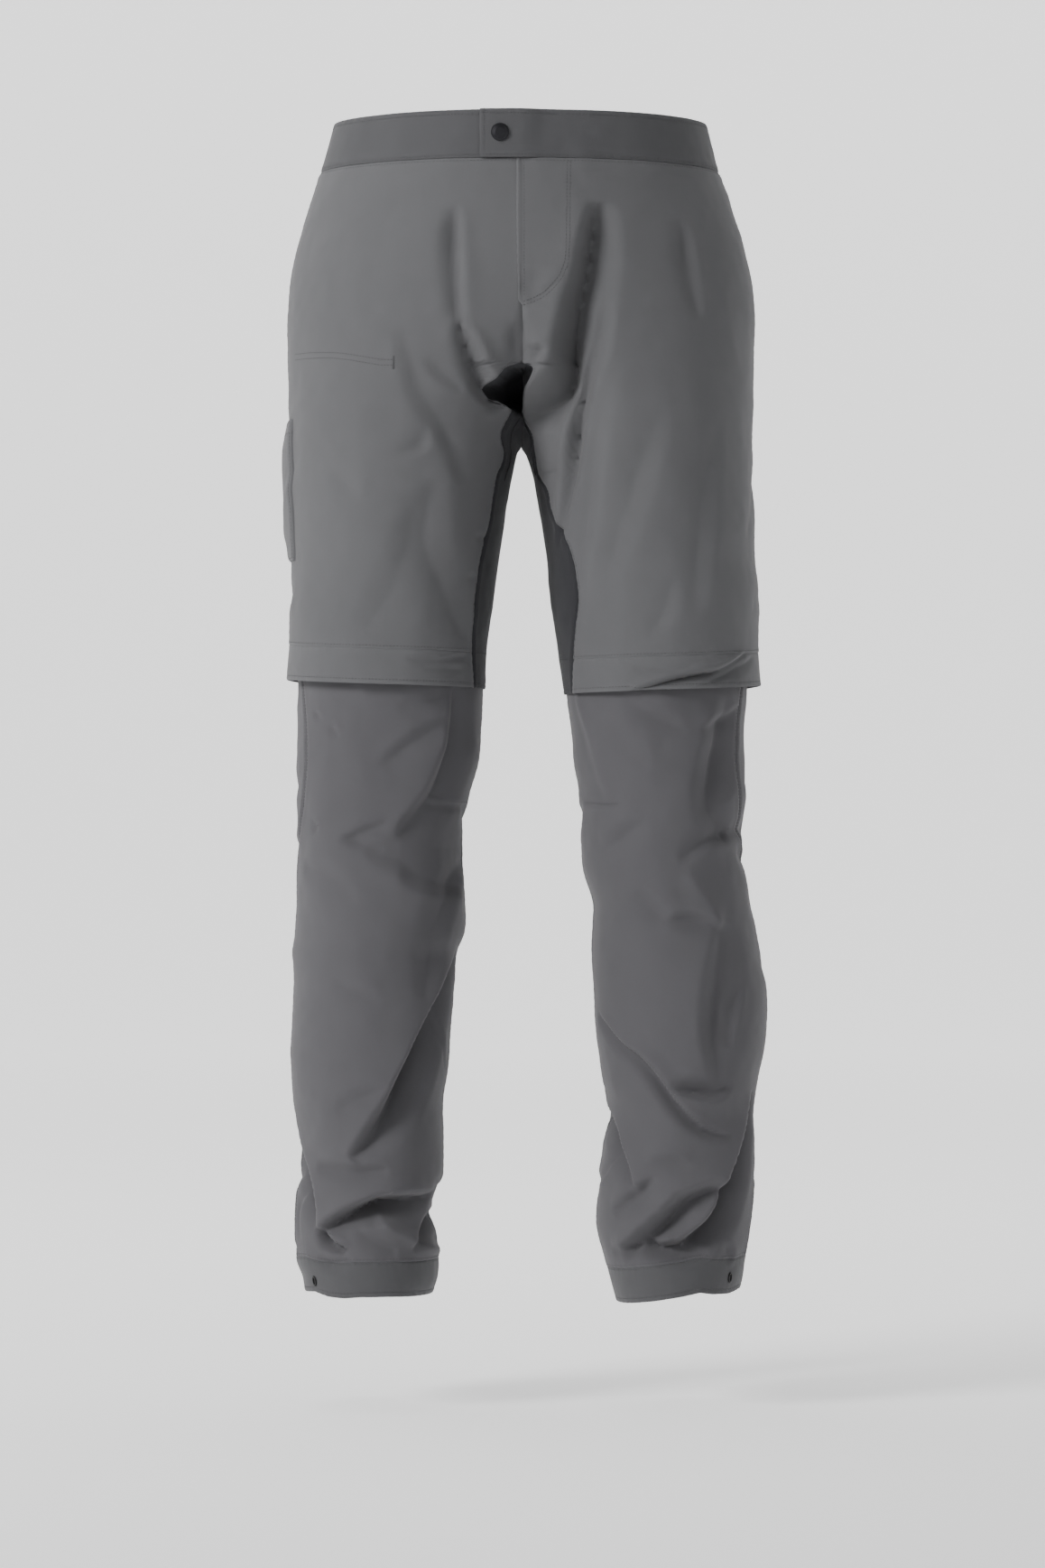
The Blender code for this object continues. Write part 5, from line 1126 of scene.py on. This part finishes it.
# Line laid on a cloth from the front, its path in millimetres across and up
def castLine(cloth, path, lift=0.0001):
    grid = cloth["outer"]
    columns = grid.shape[1]
    row, column = np.meshgrid(np.arange(grid.shape[0] - 1), np.arange(columns - 1), indexing="ij")
    corner = (row * columns + column).ravel()
    quads = np.stack([corner, corner + 1, corner + columns + 1, corner + columns], -1).tolist()
    tree = BVHTree.FromPolygons(grid.reshape(-1, 3).tolist(), quads)
    points, outs = [], []
    for x, z in smoothLine(path, 12) / 1000:
        place, normal, _, _ = tree.ray_cast(Vector((x, -1.0, z)), Vector((0.0, 1.0, 0.0)))
        if place is None:
            continue
        normal = normal if normal.y < 0 else -normal
        points.append(place + normal * lift)
        outs.append(normal)
    return np.array(points), np.array(outs)


def seamLines(cloth, *edges):
    return [edgeLine(cloth, edge, seam["stitch"]) for edge in edges]


def laidStitches(name, lines, look, finish, slotName):
    points, outs, edges, count = [], [], [], 0
    for linePoints, lineOuts in lines:
        points.append(linePoints)
        outs.append(lineOuts)
        edges += [(count + i, count + i + 1) for i in range(len(linePoints) - 1)]
        count += len(linePoints)
    mesh = bpy.data.meshes.new(name)
    mesh.from_pydata(np.concatenate(points).tolist(), edges, [])
    attribute = mesh.attributes.new("outward", "FLOAT_VECTOR", "POINT")
    attribute.data.foreach_set("vector", np.concatenate(outs).astype(np.float32).ravel())
    item = placed(name, mesh)
    modifier = item.modifiers.new("laid", "NODES")
    modifier.node_group = stitches
    modifier[stitchSockets["Spacing"]] = look["spacing"]
    modifier[stitchSockets["Size"]] = (look["length"], look["width"], look["height"])
    modifier[stitchSockets["Seed"]] = look["seed"]
    modifier[stitchSockets["Finish"]] = materials[finish]
    bpy.context.view_layer.update()
    evaluated = item.evaluated_get(bpy.context.evaluated_depsgraph_get())
    made = bpy.data.meshes.new_from_object(evaluated)
    item.modifiers.clear()
    item.data = made
    item.data.shade_smooth()
    finishPiece(item, materials[finish], slotName)
    print("laid", name, len(made.polygons), "faces")


# Fly stitching, in millimetres on the left front: two puckered rows in the shape of a J
flyStitching = {"rows": (((3, -166), (11, -163), (20, -158), (28, -150), (35, -140), (39, -120), (40, -46)),
                         ((3, -169), (13, -166), (23, -160), (31, -152), (38, -141), (42, -120), (43, -46))),
                "edge": ((3, -46), (3, -120), (3, -160))}

# Double topstitch on the right front beside the hidden hand pocket, ended by an upright bartack
pocketStitching = {"rows": (((-198, -205), (-160, -208), (-124, -215), (-112, -216)),
                            ((-198, -210), (-160, -213), (-124, -220), (-112, -221))),
                   "bartack": ((-110, -213), (-110, -224))}

# Darts at the inner knee and at the outer side below it
dartStitching = {"right": (((-46, -599), (-64, -598), (-81, -592)), ((-184, -614), (-178, -619))),
                 "left": (((57, -599), (70, -600), (84, -600)), ((176, -629), (182, -622)))}


def thighLines(leg):
    cap = leg.capitalize()
    lines = []
    for face in ("front", "back"):
        panel = cloths[face + "Thigh" + cap]
        start = thighPiece["flyStitchStart"] if face == "front" else 0.0
        lines += seamLines(panel, "left")
        lines.append(edgeLine(panel, "right", seam["stitch"], start=start))
        lines += seamLines(panel, "foot", "top")
    front, pocket = cloths["frontThigh" + cap], cloths["sidePocket"]
    if leg == "left":
        lines += [castLine(front, row) for row in (*flyStitching["rows"], flyStitching["edge"])]
    else:
        lines += [castLine(front, row) for row in pocketStitching["rows"]]
        lines += seamLines(pocket, "left", "right", "foot")
        lines.append(edgeLine(pocket, "top", stitchAway["pocketTop"]))
    lines.append(edgeLine(cloths["zipFlap" + cap], "foot", seam["freeStitch"]))
    return lines


def shinLines(leg):
    cap = leg.capitalize()
    lines = []
    for face in ("Front", "Back"):
        panel = cloths["lower" + face + cap]
        lines += seamLines(panel, "left", "right")
        lines.append(edgeLine(panel, "top", stitchAway["shinTop"]))
        lines += seamLines(panel, "foot")
    return lines + [castLine(cloths["lowerFront" + cap], row) for row in dartStitching[leg]]


def legStitches(leg):
    cap = leg.capitalize()
    inner, hem = cloths["innerThigh" + cap], cloths["hem" + cap]
    laidStitches("stitchesThigh" + cap, thighLines(leg), stitchLook, "thread", "thigh_cloth")
    laidStitches("stitchesInner" + cap, [*seamLines(inner, "left", "right"),
                                         edgeLine(inner, "foot", stitchAway["gussetFoot"])],
                 stitchLook, "darkThread", "stretch_cloth")
    laidStitches("stitchesShin" + cap, shinLines(leg), stitchLook, "thread", "shin_cloth")
    laidStitches("stitchesHem" + cap, [edgeLine(hem, "top", stitchAway["hemTop"]),
                                       edgeLine(hem, "foot", seam["freeStitch"])],
                 stitchLook, "thread", "band_cloth")
    points, outs = edgeLine(cloths["legZip" + cap], "foot", stitchAway["legCoil"], lift=coilLift["leg"])
    ring = (np.concatenate([points, points[:1]]), np.concatenate([outs, outs[:1]]))
    laidStitches("zipCoil" + cap, [ring], coilLook, "coil", "zip_tape")


def waistStitches():
    band, tape = cloths["waistband"], cloths["flyZip"]
    laidStitches("stitchesBand", [edgeLine(band, "top", seam["freeStitch"]), *seamLines(band, "foot"),
                                  edgeLine(band, "left", seam["freeStitch"])],
                 stitchLook, "thread", "band_cloth")
    middle = tape["outer"].shape[1] // 2
    outs = tape["normals"][:, middle]
    laidStitches("flyCoil", [(tape["outer"][:, middle] + outs * coilLift["fly"], outs)], coilLook, "coil",
                 "zip_tape")
    laidStitches("bartack", [castLine(cloths["frontThighRight"], pocketStitching["bartack"])], tackLook,
                 "thread", "thigh_cloth")


# Hem eyelets: angle round the leg in degrees, height above the hem's edge, half sizes, all in metres
eyeletPiece = {"right": {"turn": 39.0}, "left": {"turn": 38.5}, "rise": 0.0135, "halfWidth": 0.0021,
               "halfHeight": 0.0038, "rim": 0.0009, "flat": 0.7, "lift": 0.0005, "holeDrop": 0.0002,
               "steps": 40, "rounds": 12, "holeSteps": 32}


def ringSolid(name, origin, axes, piece):
    across, up, out = axes
    turn = np.linspace(0, 2 * math.pi, piece["steps"], endpoint=False)[:, None]
    rim = np.linspace(0, 2 * math.pi, piece["rounds"], endpoint=False)[None, :]
    reach = piece["rim"] * np.cos(rim)
    points = (origin + across * ((piece["halfWidth"] + reach) * np.cos(turn))[..., None]
              + up * ((piece["halfHeight"] + reach) * np.sin(turn))[..., None]
              + out * (piece["rim"] * piece["flat"] * np.sin(rim) + 0 * turn)[..., None])
    faces = []
    steps, rounds = piece["steps"], piece["rounds"]
    for i in range(steps):
        for j in range(rounds):
            a, b = (i + 1) % steps, (j + 1) % rounds
            faces.append((i * rounds + j, a * rounds + j, a * rounds + b, i * rounds + b))
    mesh = bpy.data.meshes.new(name)
    mesh.from_pydata(points.reshape(-1, 3).tolist(), [], faces)
    mesh.shade_smooth()
    return placed(name, mesh)


def eyelet(leg):
    angle = math.radians(eyeletPiece[leg]["turn"])
    height = float(hemHeight(leg, angle, eyeletPiece["rise"]))
    bore = cloths["hem" + leg.capitalize()]
    flat, flatNormals = bore["outer"].reshape(-1, 3), bore["normals"].reshape(-1, 3)
    target, _ = ovalPoint(leg, "shin", np.array(height), np.array(angle))
    nearest = int(np.argmin(((flat - target) ** 2).sum(-1)))
    out = flatNormals[nearest] / np.linalg.norm(flatNormals[nearest])
    across = np.cross([0.0, 0.0, 1.0], out)
    across /= np.linalg.norm(across)
    up = np.cross(out, across)
    origin = flat[nearest] + out * eyeletPiece["lift"]
    ring = ringSolid("eyelet" + leg.capitalize(), origin, (across, up, out), eyeletPiece)
    finishPiece(ring, materials["eyelet"], "eyelet", "hem_eyelet_" + leg)
    # A near-black disc just under the ring paints the shade inside the hole, which is not cut through the band
    steps = eyeletPiece["holeSteps"]
    turn = np.linspace(0, 2 * math.pi, steps, endpoint=False)[:, None]
    disc = (origin - out * eyeletPiece["holeDrop"] + across * eyeletPiece["halfWidth"] * np.cos(turn)
            + up * eyeletPiece["halfHeight"] * np.sin(turn))
    mesh = bpy.data.meshes.new("eyeletHoleShade" + leg.capitalize())
    mesh.from_pydata(disc.tolist(), [], [tuple(range(steps))])
    finishPiece(placed("eyeletHoleShade" + leg.capitalize(), mesh), materials["holeShade"], "eyelet")


def keepSolid(node, finish):
    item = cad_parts[node]
    item.data.materials.clear()
    item.data.materials.append(materials[finish])


# Studio: a pale floor that bends up into a round wall, brighter behind the trousers, with a soft key
# from the front left and a weaker fill
studio = {"floorHeight": -1.135, "radius": 8.5, "bend": 2.5, "wall": 6.0, "segments": 64, "bendSteps": 13,
          "floorColour": (236, 236, 236), "worldColour": (1.0, 1.0, 1.0), "worldStrength": 0.17,
          "glowFront": 0.12, "glowBack": 0.90, "glowReach": 2.5, "aim": (0.0, 0.0, -0.55),
          "key": {"place": (-3.0, -2.3, 1.5), "size": 1.3, "power": 180.0},
          "fill": {"place": (2.0, -3.6, 0.3), "size": 2.4, "power": 5.0},
          "top": {"place": (-0.3, 0.2, 2.2), "size": 1.6, "power": 30.0},
          "eye": (0.0016, -4.5, -0.5828), "frameHeight": 1.3896, "sensor": 36.0, "farthest": 60.0}


def paperMaterial():
    paper, tree, shader = newMaterial("paper")
    shader.inputs["Base Color"].default_value = shade(*studio["floorColour"])
    shader.inputs["Roughness"].default_value = 0.9
    shader.inputs["Emission Color"].default_value = (1.0, 1.0, 1.0, 1.0)
    place = tree.nodes.new("ShaderNodeTexCoord").outputs["Object"]
    split = tree.nodes.new("ShaderNodeSeparateXYZ")
    fade = tree.nodes.new("ShaderNodeMapRange")
    fade.interpolation_type = "SMOOTHSTEP"
    for name, value in (("From Min", -studio["glowReach"]), ("From Max", studio["glowReach"]),
                        ("To Min", studio["glowFront"]), ("To Max", studio["glowBack"])):
        fade.inputs[name].default_value = value
    tree.links.new(place, split.inputs[0])
    tree.links.new(split.outputs["Y"], fade.inputs["Value"])
    tree.links.new(fade.outputs[0], shader.inputs["Emission Strength"])
    return paper


def roundStudio():
    flat = studio["radius"] - studio["bend"]
    turns = np.linspace(0.0, math.pi / 2, studio["bendSteps"])
    profile = [(flat + studio["bend"] * math.sin(turn), studio["bend"] * (1 - math.cos(turn)))
               for turn in turns]
    profile.append((studio["radius"], studio["wall"]))
    count = studio["segments"]
    points = [(reach * math.cos(2 * math.pi * i / count), reach * math.sin(2 * math.pi * i / count),
               studio["floorHeight"] + up) for reach, up in profile for i in range(count)]
    faces = [tuple(range(count))]
    for ring in range(len(profile) - 1):
        for i in range(count):
            near, far = ring * count + i, ring * count + (i + 1) % count
            faces.append((near, near + count, far + count, far))
    mesh = bpy.data.meshes.new("floor")
    mesh.from_pydata(points, [], faces)
    mesh.shade_smooth()
    item = placed("floor", mesh)
    item.data.materials.append(paperMaterial())


def lamp(name, settings):
    light = bpy.data.lights.new(name, "AREA")
    light.energy = settings["power"]
    light.size = settings["size"]
    item = placed(name, light)
    item.location = settings["place"]
    aim = Vector(studio["aim"]) - item.location
    item.rotation_mode = "QUATERNION"
    item.rotation_quaternion = aim.to_track_quat("-Z", "Y")


def lightAndCamera():
    roundStudio()
    for name in ("key", "fill", "top"):
        lamp(name, studio[name])
    world = bpy.data.worlds.new("studioWorld")
    world.use_nodes = True
    background = world.node_tree.nodes["Background"]
    background.inputs["Color"].default_value = (*studio["worldColour"], 1.0)
    background.inputs["Strength"].default_value = studio["worldStrength"]
    bpy.context.scene.world = world
    view = bpy.data.cameras.new("camera")
    view.sensor_fit = "VERTICAL"
    view.sensor_height = studio["sensor"]
    view.lens = studio["sensor"] * -studio["eye"][1] / studio["frameHeight"]
    view.clip_end = studio["farthest"]
    item = placed("camera", view)
    item.location = studio["eye"]
    item.rotation_euler = (math.pi / 2, 0.0, 0.0)
    bpy.context.scene.camera = item


cloths = {}
materials = {name: clothMaterial(name + "Cloth", look) for name, look in clothLooks.items()}
materials.update({name: hardMaterial(name + "Finish", look) for name, look in hardLooks.items()})
foldLines = foldPaths()
stitches, stitchSockets = stitchTree()
print("made materials and", len(foldLines), "fold lines")
for leg in legs:
    for face in ("front", "back"):
        thighPanel(leg, face)
        shinPanel(leg, face)
    gussetPanel(leg)
    zipFlap(leg)
    zipRing(leg)
    hemBand(leg)
waistband()
flyFacing()
flyZip()
sidePocket()
for leg in legs:
    legStitches(leg)
waistStitches()
for leg in legs:
    eyelet(leg)
    keepSolid("leg_zip_slider_" + leg, "slider")
keepSolid("fly_zip_slider", "slider")
keepSolid("waist_snap", "snap")
lightAndCamera()
print("lit the studio and set the camera")
